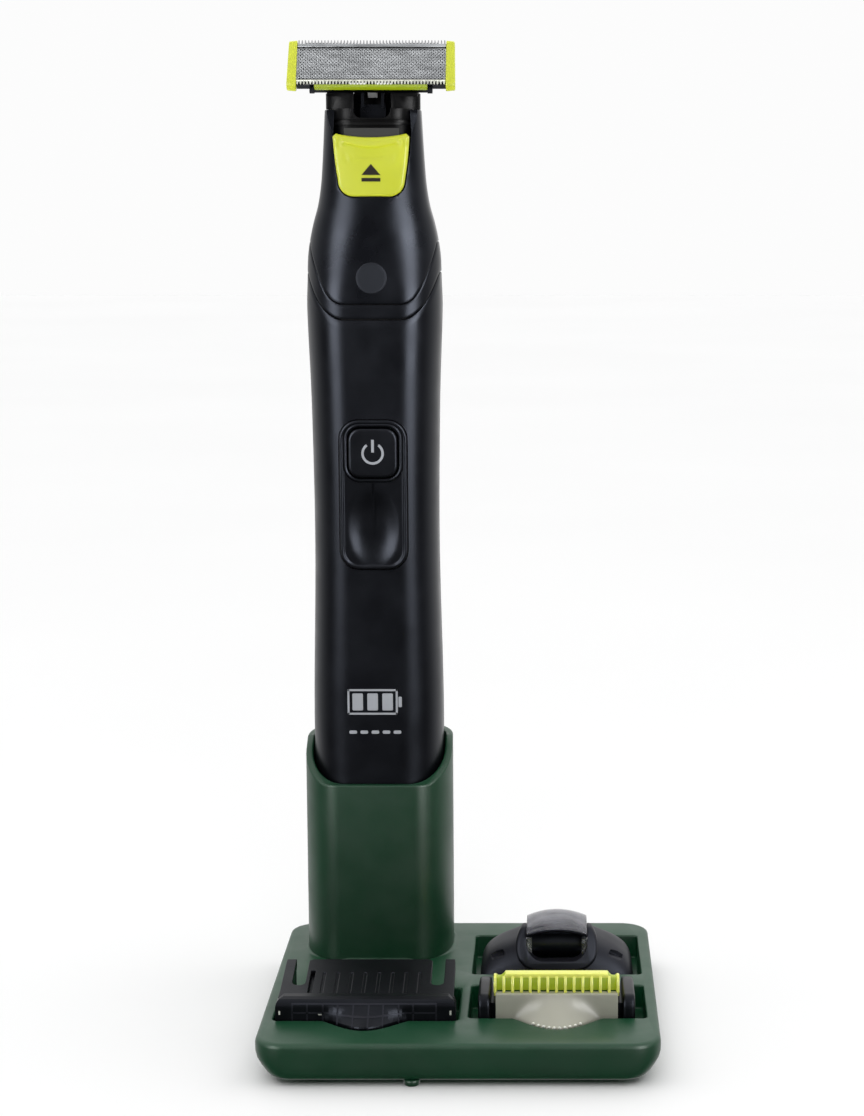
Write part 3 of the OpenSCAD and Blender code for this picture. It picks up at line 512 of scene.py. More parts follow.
def bend(point):
    """0 along the front, rising to 1 at the sides and staying there round the back."""
    if point[1] > 0:
        return 1
    share = (abs(point[0]) / BEND_HALF - BEND_LEVEL) / (1 - BEND_LEVEL)
    return clamp(share) ** BEND_POWER


def groove_z(point):
    return GROOVE_FRONT + GROOVE_RISE * bend(point)


def neck_z(point):
    return NECK_FRONT + NECK_RISE * bend(point)


def rim_z(point):
    """The neck's upper edge, lower in the middle of the front."""
    return NECK_TOP - RIM_RISE + RIM_RISE * clamp((abs(point[0]) - 4) / 3 + max(0, point[1]))


def row_between(start, end, share, inset, side):
    """A row part of the way between two heights that may vary round the section."""
    heights = [start(g) + (end(g) - start(g)) * share for g in section(GUIDE_Z, 0, side)]
    return [at_axis(section(z, inset, side)[k], z) for k, z in enumerate(heights)]


def eased_rows(start, end, count, side, rounding=0.2):
    """Outer rows with a small radius at the lower and upper edge."""
    first = [row_between(start, end, 0, inset, side) for inset in (rounding, rounding * 0.3)]
    rows = [row_between(lambda g: start(g) + rounding, lambda g: end(g) - rounding, i / count, 0, side)
            for i in range(count + 1)]
    last = [row_between(start, end, 1, inset, side) for inset in (rounding * 0.3, rounding)]
    return first + rows + last


def wall_piece(name, start, end, count, side):
    outer = eased_rows(start, end, count, side)
    inner_count = len(outer) - 1
    inner = [row_between(start, end, i / inner_count, WALL, side) for i in range(inner_count + 1)]
    return thick_wall(name, outer, inner, side == "ring")


def level(z):
    return lambda point: z


# ---------- handle pieces ----------

PANEL_LOW, PANEL_HIGH = low("switch_panel"), high("switch_panel")
PANEL_W = PANEL_HIGH.x - PANEL_LOW.x
PANEL_H = PANEL_HIGH.z - PANEL_LOW.z
PANEL_Z = (PANEL_HIGH.z + PANEL_LOW.z) / 2
BUTTON_LOW, BUTTON_HIGH = low("power_button"), high("power_button")
BUTTON_Z = (BUTTON_LOW.z + BUTTON_HIGH.z) / 2


SCREW_HEIGHTS = (30, 118)
SCREW_HOLE_R = 1.9


def upright(name, outline, cx, cz, y, depth):
    """A prism of an outline in x and z, standing from y back by depth."""
    return prism(name, outline, lambda a, b, d: (cx + a, y + d, cz + b), depth)


def make_front_shell():
    shell = wall_piece("front_shell_look", level(HANDLE_LOW), groove_z, 84, "front")
    hole = upright("hole", rounded(PANEL_W + 0.3, PANEL_H + 0.3, 4.15), AXIS_X, PANEL_Z, AXIS_Y - 15, 6)
    boolean(shell, hole)
    finish_piece(shell, BLACK, "handle", "front_shell")


def make_rear_shell():
    shell = wall_piece("rear_shell_look", level(HANDLE_LOW), groove_z, 84, "back")
    for z in SCREW_HEIGHTS:
        boolean(shell, upright("hole", circle(SCREW_HOLE_R, 32), AXIS_X, z, AXIS_Y + 8, 8))
    finish_piece(shell, BLACK, "handle", "rear_shell")


def make_collar():
    band = wall_piece("collar_look", lambda g: groove_z(g) + 0.3, lambda g: neck_z(g) - 0.1, 6, "ring")
    finish_piece(band, COLLAR, "handle", "collar_band")
    rows = [[row_between(lambda g: groove_z(g) - 1.5, lambda g: neck_z(g) + 1.5, i / 6, inset, "ring")
             for i in range(7)] for inset in (WALL + 0.04, WALL + 0.5)]
    tongue = thick_wall("collar_tongue", rows[0], rows[1], True)
    finish_piece(tongue, DARK, "handle")


def eject_outline(grow=0.0):
    """The eject button's face: wide at the top, rounded at the bottom, with a scooped top edge."""
    half = half_x("eject_button") + grow
    bottom, top = low("eject_button").z - grow, high("eject_button").z + grow
    radius = 3.1 + grow
    foot = half - 0.95
    shoulder = top - 0.6
    brow = [(-half + 0.55 + (2 * half - 1.1) * t, top - 0.75 * math.sin(math.pi * t) ** 0.8)
            for t in (i / 12 for i in range(13))]
    right = [(half - (half - foot) * t ** 1.5, shoulder - (shoulder - bottom - radius) * t)
             for t in (i / 8 for i in range(8))]
    right += arc(foot - radius, bottom + radius, radius, 0, -90, 8)
    base = [(foot - radius - 2 * (foot - radius) * i / 8, bottom) for i in range(1, 8)]
    return brow + right + base + [(-x, z) for x, z in reversed(right)]


NOTCH_GAP = 0.32
NOTCH_TURN = 176.5


def notch_shape():
    """The neck's front opening: the button's outline, then flaring up to the two horns."""
    low_part = [p for p in eject_outline(NOTCH_GAP) if p[1] < NOTCH_TURN]
    flare = [(8.0, 179.2), (8.2, 180), (8.5, 180.9), (8.8, 181.8), (9.0, 182.6), (9.15, 183.4), (9.25, 187)]
    return low_part + [(-x, z) for x, z in flare] + flare[::-1]


def make_neck():
    neck = wall_piece("neck_look", lambda g: neck_z(g) + 0.1, rim_z, 48, "ring")
    hole = upright("hole", notch_shape(), AXIS_X, 0, AXIS_Y - 12, 8.6)
    boolean(neck, hole)
    bevelled(neck, 0.22, 3, 40)
    finish_piece(neck, GLOSS, "handle", "neck_shell")


def make_badge():
    """A plain disc set into the neck, following its curve."""
    radius, cz, rings, turn = 3.15, 150.6, 8, 48

    def skin(x, z, out):
        half, front = station(z, 1), station(z, 2)
        flat = flat_share(z)
        side = max(0, abs(x) - half * flat) / (half * (1 - flat))
        return (AXIS_X + x, AXIS_Y - front * (FLAT_Y + (1 - FLAT_Y) * math.sqrt(1 - side ** 2)) - out, z)

    def ring(r, out):
        return [skin(r * math.cos(2 * math.pi * k / turn), cz + r * math.sin(2 * math.pi * k / turn), out)
                for k in range(turn)]

    stack = [ring(radius, -0.4), ring(radius, 0.0), ring(radius - 0.05, 0.045), ring(radius - 0.22, 0.05),
             ring(radius - 0.3, 0.02)]
    stack += [ring((radius - 0.3) * (1 - i / rings), 0.02) for i in range(1, rings)]
    disc = loft("badge_look", stack)
    finish_piece(disc, BADGE, "handle", "badge_disc", smooth=50)


def pillow(name, cx, cz, width, height, radius, steps, relief=lambda a, b, inset: 0):
    """Rings drawn in from a rounded outline; steps are (inset, y), relief adds depth by place."""
    rings = []
    for inset, y in steps:
        ring = rounded(width - 2 * inset, height - 2 * inset, max(radius - inset, 0.25), 8, 16)
        rings.append([(cx + a, y + relief(a, b, inset), cz + b) for a, b in ring])
    return loft(name, rings)


def make_switch_panel():
    front = PANEL_LOW.y
    dish_z = 99.5 - PANEL_Z

    def dish(a, b, inset):
        if inset < 1.1:
            return 0
        depth = 1 - (a / 5.6) ** 2 - ((b - dish_z) / 8.5) ** 2
        return 0.85 * smoothstep(depth)

    steps = [(0, front + 2.3), (0, front + 0.35), (0.1, front + 0.1), (0.3, front), (0.62, front),
             (0.8, front + 0.1), (0.9, front + 0.26), (1.1, front + 0.3)]
    steps += [(1.1 + 0.4 * i, front + 0.3) for i in range(1, 15)]
    panel = pillow("switch_panel_look", AXIS_X, PANEL_Z, PANEL_W, PANEL_H, 4, steps, dish)
    size = BUTTON_HIGH.x - BUTTON_LOW.x + 0.5
    hole = upright("hole", rounded(size, size, 2.6), AXIS_X, BUTTON_Z, front - 1, 6)
    boolean(panel, hole)
    finish_piece(panel, PANEL, "handle", "switch_panel", smooth=50)
    outer, inner = rounded(size + 1.7, size + 1.7, 3.4), rounded(size + 0.04, size + 0.04, 2.6)
    middle = rounded(size + 0.9, size + 0.9, 3)
    rows = [(outer, 0.55), (outer, 0.2), (middle, -0.12), (inner, 0.05), (inner, 0.55)]
    rings = [[(AXIS_X + a, front + y, BUTTON_Z + b) for a, b in outline] for outline, y in rows]
    count = len(outer)
    last = (len(rings) - 1) * count
    faces = grid_faces(len(rings), count, True)
    faces += [(last + k, last + (k + 1) % count, (k + 1) % count, k) for k in range(count)]
    bezel = solid("button_bezel", [p for ring in rings for p in ring], faces)
    finish_piece(bevelled(bezel, 0.12, 3, 25), PANEL, "handle")


def make_power_button():
    front = BUTTON_LOW.y
    size = BUTTON_HIGH.x - BUTTON_LOW.x
    steps = [(0, front + 3), (0, front + 0.4), (0.1, front + 0.15), (0.3, front + 0.02)]
    steps += [(inset, front) for inset in (0.6, 1.2, 2.4, 3.6, 4.6)]
    cap = pillow("power_button_look", AXIS_X, BUTTON_Z, size, size, 2.4, steps)
    stem = upright("stem", circle(1.4, 24), AXIS_X, BUTTON_Z, front + 3, 1)
    piece = join("power_button_look", [cap, stem])
    finish_piece(piece, PANEL, "power_key", "power_button")


def make_eject_button():
    front, back = low("eject_button").y, high("eject_button").y
    outline = eject_outline()
    cz = (low("eject_button").z + high("eject_button").z) / 2 - 0.5
    ledge_mid = 176.5

    def face_y(x, z):
        ledge = ledge_mid + 0.032 * x * x
        y = front + 0.012 * max(0, abs(x) - 3) ** 2
        y -= 0.5 * smoothstep((z - ledge) / 0.35) * (1 - smoothstep((z - ledge - 0.3) / 1.2))
        y += 0.45 * smoothstep((z - ledge - 0.5) / 1.6) + 0.1 * max(0, z - ledge - 0.5)
        y += 0.14 * math.exp(-((z - 174.6) / 0.22) ** 2) * smoothstep((6.2 - abs(x)) / 0.8)
        y += 0.018 * max(0, 169.5 - z) ** 2
        return y

    rings = [[(AXIS_X + a, back, b) for a, b in outline]]
    rounding = [(1.0, 0.55), (0.99, 0.3), (0.972, 0.1), (0.945, 0.015)]
    shares = rounding + [(0.94 - 0.94 * i / 34, 0) for i in range(1, 35)]
    for share, drop in shares:
        ring = []
        for a, b in outline:
            x, z = a * share, cz + (b - cz) * share
            ring.append((AXIS_X + x, face_y(x, z) + drop, z))
        rings.append(ring)
    rows, cols = len(rings), len(outline)
    faces = grid_faces(rows, cols, True) + [tuple(range(cols))]
    button = solid("eject_button_look", [p for ring in rings for p in ring], faces)
    finish_piece(button, LIME, "eject_key", "eject_button", smooth=60)


make_front_shell()
make_rear_shell()
make_collar()
make_neck()
make_badge()
make_switch_panel()
make_power_button()
make_eject_button()


# ---------- blade head ----------

def head(x, y, z):
    """Head frame to row frame: x across, z up the leaning foil, -y out through it."""
    c, s = math.cos(LEAN), math.sin(LEAN)
    return (PIVOT.x + x, PIVOT.y + y * c + z * s, PIVOT.z - y * s + z * c)


FOIL_Y = -6.2
FOIL_HALF = half_x("guard_foil")
TOOTH_COUNT = 46
MESH_LOW, MESH_HIGH = -3.75, 3.42


def head_box(name, x, y, z, bevel=0.08):
    outline = [(x[0], z[0]), (x[1], z[0]), (x[1], z[1]), (x[0], z[1])]
    piece = prism(name, outline, lambda a, b, d: head(a, y[0] + d, b), y[1] - y[0])
    return bevelled(piece, bevel, 2)


def foil_cells():
    """Diamond cells, each with a round hole through it."""
    pitch = 0.72
    radius = 0.17
    sides = 8
    cols = int(2 * FOIL_HALF / pitch)
    rows = 2 * int((MESH_HIGH - MESH_LOW) / pitch)
    step_x = 2 * FOIL_HALF / cols
    step_z = (MESH_HIGH - MESH_LOW) / rows
    bm = bmesh.new()
    for j in range(rows + 1):
        offset = 0.5 if j % 2 else 0
        for i in range(cols + 1 - (j % 2)):
            cx = -FOIL_HALF + (i + offset) * step_x
            cz = MESH_LOW + j * step_z
            if not (abs(cx) < FOIL_HALF - 0.1 and MESH_LOW + 0.1 < cz < MESH_HIGH - 0.1):
                continue
            rim, hole = [], []
            for k in range(sides):
                t = 2 * math.pi * k / sides
                reach = 1 / (abs(math.cos(t)) / (step_x / 2) + abs(math.sin(t)) / step_z)
                outer = head(cx + reach * math.cos(t), FOIL_Y, cz + reach * math.sin(t))
                inner = head(cx + radius * math.cos(t), FOIL_Y + 0.04, cz + radius * math.sin(t))
                rim.append(bm.verts.new(Vector(outer) * MM))
                hole.append(bm.verts.new(Vector(inner) * MM))
            for k in range(sides):
                n = (k + 1) % sides
                bm.faces.new((rim[k], rim[n], hole[n], hole[k]))
    sheet = link_mesh("foil_mesh", bm)
    thick = sheet.modifiers.new("thickness", "SOLIDIFY")
    thick.thickness = 0.1 * MM
    thick.offset = 0
    return sheet


def tooth(x, root, tip, width, y, depth):
    """One pointed tooth of the foil's edge."""
    reach = tip - root
    outline = [(x - width / 2, root), (x + width / 2, root), (x + width * 0.42, root + reach * 0.7),
               (x + width * 0.18, tip), (x - width * 0.18, tip), (x - width * 0.42, root + reach * 0.7)]
    return prism("tooth", outline, lambda a, b, d: head(a, y + d, b), depth)


def make_foil():
    parts = [foil_cells()]
    across = (-FOIL_HALF, FOIL_HALF)
    parts.append(head_box("strip", across, (FOIL_Y - 0.05, FOIL_Y + 0.25), (3.85, 4.65)))
    parts.append(head_box("strip", across, (FOIL_Y - 0.02, FOIL_Y + 0.12), (3.36, 3.5), 0.03))
    for side in (-1, 1):
        edge = sorted((side * (FOIL_HALF - 0.3), side * FOIL_HALF))
        parts.append(head_box("strip", edge, (FOIL_Y - 0.01, FOIL_Y + 0.1), (MESH_LOW, 3.5), 0.03))
    finish_piece(join("foil_look", parts), FOIL, "blade_head", "guard_foil")
    pitch = 2 * FOIL_HALF / TOOTH_COUNT
    middles = [-FOIL_HALF + (i + 0.5) * pitch for i in range(TOOTH_COUNT)]
    upper = join("foil_teeth", [tooth(x, 4.6, 5.5, pitch * 0.46, FOIL_Y - 0.02, 0.22) for x in middles])
    finish_piece(upper, TEETH, "blade_head")
    rack = [head_box("strip", across, (FOIL_Y - 0.02, FOIL_Y + 0.2), (-4.15, MESH_LOW))]
    rack += [tooth(x, -4.1, -4.86, pitch * 0.6, FOIL_Y - 0.04, 0.24) for x in middles]
    lower = join("foil_rack", rack)
    finish_piece(lower, RACK, "blade_head")
    groove = head_box("foil_groove", across, (FOIL_Y + 0.1, FOIL_Y + 0.3), (3.4, 3.95), 0.02)
    finish_piece(groove, DARK, "blade_head")


def make_end_caps():
    thick = half_x("blade_end_caps") - FOIL_HALF
    parts = []
    for side in (-1, 1):
        rings = []
        for d, inset in ((0, 0), (thick, 0.25)):
            lean_in = 0.22 if d else 0
            rings.append([head(side * (FOIL_HALF + d - lean_in * (z + 5.5) / 11), -5.3 + y, z)
                          for y, z in rounded(2.6 - inset, 11.1 - inset, 0.9, 6, 3)])
        parts.append(bevelled(loft("cap", rings), 0.22, 3))
    finish_piece(join("end_caps_look", parts), LIME_CAP, "blade_head", "blade_end_caps")


def make_lip():
    lip = head_box("lip", (-11.4, 11.4), (-6.3, -5), (-5.5, -4.9), 0.12)
    # The lip gets the darker copy of the lime.
    finish_piece(join("foil_lip_look", [lip]), LIME_DARKER, "blade_head", "foil_lip")


make_foil()
make_end_caps()
make_lip()
refined("cartridge_base", BLOCK, "cartridge", 0.22)


# ---------- stand ----------

TRAY_LOW, TRAY_HIGH = low("base_tray"), high("base_tray")
TRAY_W, TRAY_D, TRAY_TOP = TRAY_HIGH.x - TRAY_LOW.x, TRAY_HIGH.y - TRAY_LOW.y, TRAY_HIGH.z
FOOT = 1.0
POCKET_FLOOR = 3.4
NUB_R, NUB_X = 1.55, 8.7


def bell(t):
    return ((1 + math.cos(math.pi * min(1, abs(t)))) / 2) ** 0.58


def pocket_shape(middle, half, front, back, notch_half=0.0, notch_depth=0.0):
    """Outline of a pocket in plan, with its thumb notch in front."""
    r = 0.9
    points = []
    for cx, cy, start in ((half - r, back - r, 0), (-half + r, back - r, 90), (-half + r, front + r, 180)):
        points += arc(middle + cx, cy, r, start, start + 90, 6)
    if notch_depth:
        points += [(middle + notch_half * t, front - notch_depth * bell(t))
                   for t in (i / 20 - 1 for i in range(41))]
    return points + arc(middle + half - r, front + r, r, 270, 360, 6)


# [middle, half width, front, back, half width and depth of the thumb notch]
COMB_POCKET = (-18.4, 18.0, -25.4, -5.6, 8.4, 5.7)
GUARD_POCKET = (19.1, 17.4, -23.9, -3.9, 8.8, 6.6)
CAP_POCKET = (19.0, 17.4, 3.1, 29.4)


def make_tray():
    # [height, inset across, inset in depth]
    profile = [(FOOT, 4.2, 1.6), (FOOT + 0.15, 3.4, 1.0), (FOOT + 0.6, 2.55, 0.45), (FOOT + 1.4, 1.85, 0.15),
               (FOOT + 2.6, 0.95, 0.02), (FOOT + 3.6, 0.32, 0), (FOOT + 4.6, 0.05, 0), (FOOT + 5.2, 0, 0),
               (TRAY_TOP - 1.0, 0, 0), (TRAY_TOP - 0.72, 0.05, 0.05), (TRAY_TOP - 0.42, 0.2, 0.2),
               (TRAY_TOP - 0.2, 0.42, 0.42), (TRAY_TOP - 0.05, 0.72, 0.72), (TRAY_TOP, 1.05, 1.05)]
    rings = [[(x, y, z) for x, y in rounded(TRAY_W - 2 * dx, TRAY_D - 2 * dy, 5.6 - 0.5 * dx, 12, 12)]
             for z, dx, dy in profile]
    tray = loft("tray", rings)
    for pocket in (COMB_POCKET, GUARD_POCKET, CAP_POCKET):
        tool = prism("tool", pocket_shape(*pocket), lambda a, b, d: (a, b, POCKET_FLOOR + d), 8)
        boolean(tray, tool)
    bevelled(tray, 0.45, 4, 50)
    apply_modifiers(tray)
    nubs = []
    for side in (-1, 1):
        turn = circle(NUB_R, 32, side * NUB_X, side * (TRAY_D / 2 - NUB_R))
        nubs.append(bevelled(prism("nub", turn, lambda a, b, d: (a, b, d), 1.2), 0.35, 3))
    finish_piece(join("base_tray_look", [tray] + nubs), GREEN, "stand", "base_tray", smooth=50)


make_tray()
refined("tower_sleeve", GREEN, "stand", 0.5, 4, 50)


def make_tower_foot():
    """The small cove where the tower meets the tray."""
    tower_low, tower_high = low("tower_sleeve"), high("tower_sleeve")
    cx, cy = mid_x("tower_sleeve"), (tower_low.y + tower_high.y) / 2
    a, b = half_x("tower_sleeve"), (tower_high.y - tower_low.y) / 2
    base = tower_low.z
    cove = 0.7
    back = tower_high.y

    def ring(grow, z):
        points = [point for quadrant in range(4) for point in corner(a + grow, b + grow, quadrant)]
        return [(cx + x, min(cy + y, back), z) for x, y in points]

    outer = [ring(cove * (1 - math.sin(t)), base + cove * (1 - math.cos(t)))
             for t in (math.radians(90 * i / 6) for i in range(7))]
    inner = [ring(-0.4, base + cove * i / 6) for i in range(7)]
    finish_piece(thick_wall("tower_foot", outer, inner, True), GREEN, "stand", smooth=60)


make_tower_foot()


# ---------- attachments ----------

def sideways(name, outline, x, depth):
    """A prism of an outline in y and z, standing from x across by depth."""
    return prism(name, outline, lambda a, b, d: (x + d, a, b), depth)


def make_guard_frame():
    """Two rounded cheeks with a bar between them at the back."""
    base, rear = low("guard_frame").z, high("guard_frame").y
    left, right = low("guard_frame").x, high("guard_frame").x
    parts = []
    thick = 2.4
    nose = arc(-20.6, 9.9, 2.4, 90, 180, 10)
    cheek = [(rear, base), (rear, 10.4), (rear - 0.8, 11.2), (-12, 12.3)] + nose + [(-23, base)]
    for x in (left, right - thick):
        parts.append(bevelled(sideways("cheek", cheek, x, thick), 0.6, 4))
    inner = [(-21.4, base), (-21.4, 10.6), (rear - 2, 10.6), (rear - 2, base)]
    for x in (left + 2.3, right - 3.4):
        parts.append(bevelled(sideways("inner_cheek", inner, x, 1.1), 0.2, 2))
    bar = [(rear - 1.6, base), (rear - 1.6, 5.2), (rear, 5.2), (rear, base)]
    parts.append(sideways("bar", bar, left + 2, right - left - 4))
    finish_piece(join("guard_frame_look", parts), COMB_BLACK, "skin_guard", "guard_frame", smooth=24)


make_guard_frame()


# Storage cap: a smooth dome with a raised rim round a visor and a roller.

CAP_X, CAP_MID_Y, CAP_HALF_Y = 19.0, 15.7, 10.4
CAP_LOW = low("cap_shell").z
CAP_REACH = 16.0
CAP_TOP = 15.45
# [distance from the middle, height of the crest]
CAP_LINE = [(0, CAP_TOP), (4.0, CAP_TOP - 0.1), (6.4, 14.4), (8.4, 13.5), (11.2, 12.3), (13.2, 11.1),
            (14.6, 9.8), (15.5, 8.1), (15.9, 6.2), (CAP_REACH, 4.6)]
CAP_TOOL_Y = 2.0
VISOR_Y, VISOR_Z, VISOR_HALF = 12.2, 11.9, 6.25


def cap_height(x):
    """Height of the dome's crest at a distance from its middle, eased between stations."""
    x = min(abs(x), CAP_REACH - 0.001)
    for i, (x0, z0) in enumerate(CAP_LINE[:-1]):
        x1, z1 = CAP_LINE[i + 1]
        if x < x1:
            before = CAP_LINE[i - 1] if i else (-x1, z0)
            after = CAP_LINE[i + 2] if i + 2 < len(CAP_LINE) else (x1 + 0.1, z1 - 2.6)
            m0 = (z1 - before[1]) / (x1 - before[0]) * (x1 - x0)
            m1 = (after[1] - z0) / (after[0] - x0) * (x1 - x0)
            t = (x - x0) / (x1 - x0)
            return min(CAP_TOP, cubic(t, z0, z1, m0, m1))
    return CAP_LINE[-1][1]


def cap_dome(inset, base):
    """The dome as a closed solid, drawn in by an inset."""
    rings = []
    reach = CAP_REACH - inset
    for x in eased(reach, 64):
        crest = max(base + 0.4, cap_height(x * CAP_REACH / reach) - inset)
        narrow = 1 - 0.12 * (abs(x) / CAP_REACH) ** 6
        ring = []
        for j in range(41):
            t = math.radians(180 * j / 40)
            ease = math.copysign(abs(math.cos(t)) ** 0.72, math.cos(t))
            ring.append((CAP_X + x, CAP_MID_Y - (CAP_HALF_Y - inset) * narrow * ease,
                         base + (crest - base) * math.sin(t) ** 0.78))
        rings.append(ring)
    return loft("dome", rings)


def visor_point(x, angle, radius):
    """A point on the visor; it arches across as well as along."""
    sag = 1.5 * (x / 6.3) ** 2
    return (CAP_X + x, VISOR_Y - radius * math.cos(angle),
            VISOR_Z + (radius - sag) * math.sin(angle) ** 0.42)


def visor_band(name, radius, thick, start, end):
    """A curved strip of the visor between two angles in degrees."""
    outer, inner = [], []
    for i in range(25):
        angle = math.radians(start + (end - start) * i / 24)
        outer.append([visor_point(VISOR_HALF * (k / 12 - 1), angle, radius) for k in range(25)])
        inner.append([visor_point(VISOR_HALF * (k / 12 - 1), angle, radius - thick) for k in range(25)])
    return thick_wall(name, outer, inner)


def make_cap():
    dome = cap_dome(0, CAP_LOW)
    boolean(dome, cap_dome(1.5, CAP_LOW - 1))
    boolean(dome, upright("tool", rounded(12.9, 20.0, 3.6, 10), CAP_X, 20.2, CAP_TOOL_Y, 16.4))
    for side in (-1, 1):
        turn = math.radians(-22 * side)
        slot = [(x * math.cos(turn) - z * math.sin(turn), x * math.sin(turn) + z * math.cos(turn))
                for x, z in rounded(3.1, 0.95, 0.47)]
        boolean(dome, upright("tool", slot, CAP_X + side * 12.3, 10.6, CAP_TOOL_Y, 8.5))
    bevelled(dome, 0.14, 2, 50)
    finish_piece(dome, CHARCOAL, "head_cap", "cap_shell", smooth=50)

    rings = []
    for swell, y in ((0.0, 7.4), (0.0, 5.2), (0.28, 4.78), (0.75, 4.62)):
        ring = [(x, min(13.1 + z, 16.6 - 0.4 * swell))
                for x, z in rounded(16.9 - 2 * swell, 9.6 - 2 * swell, 4.6 - swell, 12, 12)]
        rings.append([(CAP_X + x, y + 0.5 * max(0, z - 10.8) ** 1.25, z) for x, z in ring])
    rim = loft("rim", rings)
    boolean(rim, upright("tool", rounded(12.75, 14, 3.5, 12), CAP_X, 17.35, CAP_TOOL_Y, 14))
    bevelled(rim, 0.2, 3, 50)
    finish_piece(rim, CHARCOAL, "head_cap", "cap_bezel", smooth=50)

    visor = visor_band("cap_visor", 6.98, 0.6, 30, 165)
    finish_piece(bevelled(visor, 0.12, 2, 60), SMOKE, "head_cap", "cap_window")
    hood = visor_band("cap_hood", 6.3, 0.7, 28, 62)
    finish_piece(hood, CHARCOAL, "head_cap")


def make_guard():
    """Skin guard: a milky slab that flares into the thumb notch, and a lime rib row: the web behind the ribs
    is painted darker as shade, the thin ribs paler as light.
    """
    back, front = high("guard_plate").y, -23.4
    base = low("guard_plate").z
    middle, half = mid_x("guard_plate"), half_x("guard_plate")
    top = 13.0
    lip_z, lip_half, lip_depth = 8.2, 8.2, 6.1
    rings = []
    across = eased(half, 48)
    for i in range(25):
        z = base + (top - base) * i / 24
        flare = clamp((top - z) / (top - lip_z)) ** 1.4
        ring = [(middle + x, front - lip_depth * flare * bell(x / lip_half) ** (2.6 - 1.6 * flare), z)
                for x in across]
        rings.append(ring + [(middle + x, back, z) for x in reversed(across)])
    slab = loft("slab", rings)
    bevelled(slab, 0.2, 3, 50)
    finish_piece(slab, MILKY, "skin_guard", "guard_plate", smooth=50)
    # Rounded tooth tips along the notch edge, real shapes. Their bright white is a painted highlight.
    beads = []
    bead_r, bead_z = 0.33, 8.3
    for i in range(10):
        dx = (i - 4.5) * 1.02
        y = front - lip_depth * bell(dx / lip_half) - 0.12
        rows = [[(middle + dx + bead_r * math.sin(a) * math.cos(b), y + bead_r * math.sin(a) * math.sin(b),
                  bead_z + bead_r * math.cos(a)) for b in [2 * math.pi * k / 16 for k in range(16)]]
                for a in [math.pi * (j + 0.5) / 9 for j in range(9)]]
        beads.append(loft("bead", rows))
    tips = finish_piece(join("guard_tips", beads), TIP_GLINT, "skin_guard")

    web_low, web_high = low("guard_comb"), high("guard_comb")
    centre, reach = mid_x("guard_comb"), half_x("guard_comb")
    count = 15
    pitch = (2 * reach - 0.6) / (count - 1)
    crown = [(-reach + 0.1, 13.2), (-reach + 0.1, 15.6), (-reach + 0.5, 15.9), (-reach + 1.5, 15.95),
             (-reach + 2.2, 16.55)]
    crown += [(-x, z) for x, z in reversed(crown)]
    # The web behind the ribs is the guard's lime plastic in the darker copy: painted shade between the ribs.
    web = upright("web", crown, centre, 0, web_low.y + 1.0, 1.6)
    finish_piece(bevelled(web, 0.18, 2), LIME_DARKER, "skin_guard")
    ribs = []
    rib_thick = 0.56
    for i in range(count):
        x = centre - reach + 0.3 + i * pitch
        side = [(web_low.y, 13.0), (web_low.y, 14.6), (web_low.y + 0.5, 15.9), (web_low.y + 1.3, 16.3),
                (web_low.y + 3.2, 16.0), (web_high.y, 12.4), (web_high.y, 11.5), (web_low.y + 2.4, 11.5),
                (web_low.y + 2.4, 13.0)]
        ribs.append(bevelled(sideways("rib", side, x - rib_thick / 2, rib_thick), 0.16, 2))
    strip = [(-reach + 1.7, 15.7), (-reach + 2.3, web_high.z), (reach - 2.3, web_high.z), (reach - 1.7, 15.7)]
    ribs.append(bevelled(upright("strip", strip, centre, 0, web_low.y + 0.9, 2.4), 0.2, 3))
    # The ribs get the paler copy of the lime: painted light on the thin ribs.
    finish_piece(join("guard_ribs", ribs), LIME_LIT, "skin_guard", "guard_comb")


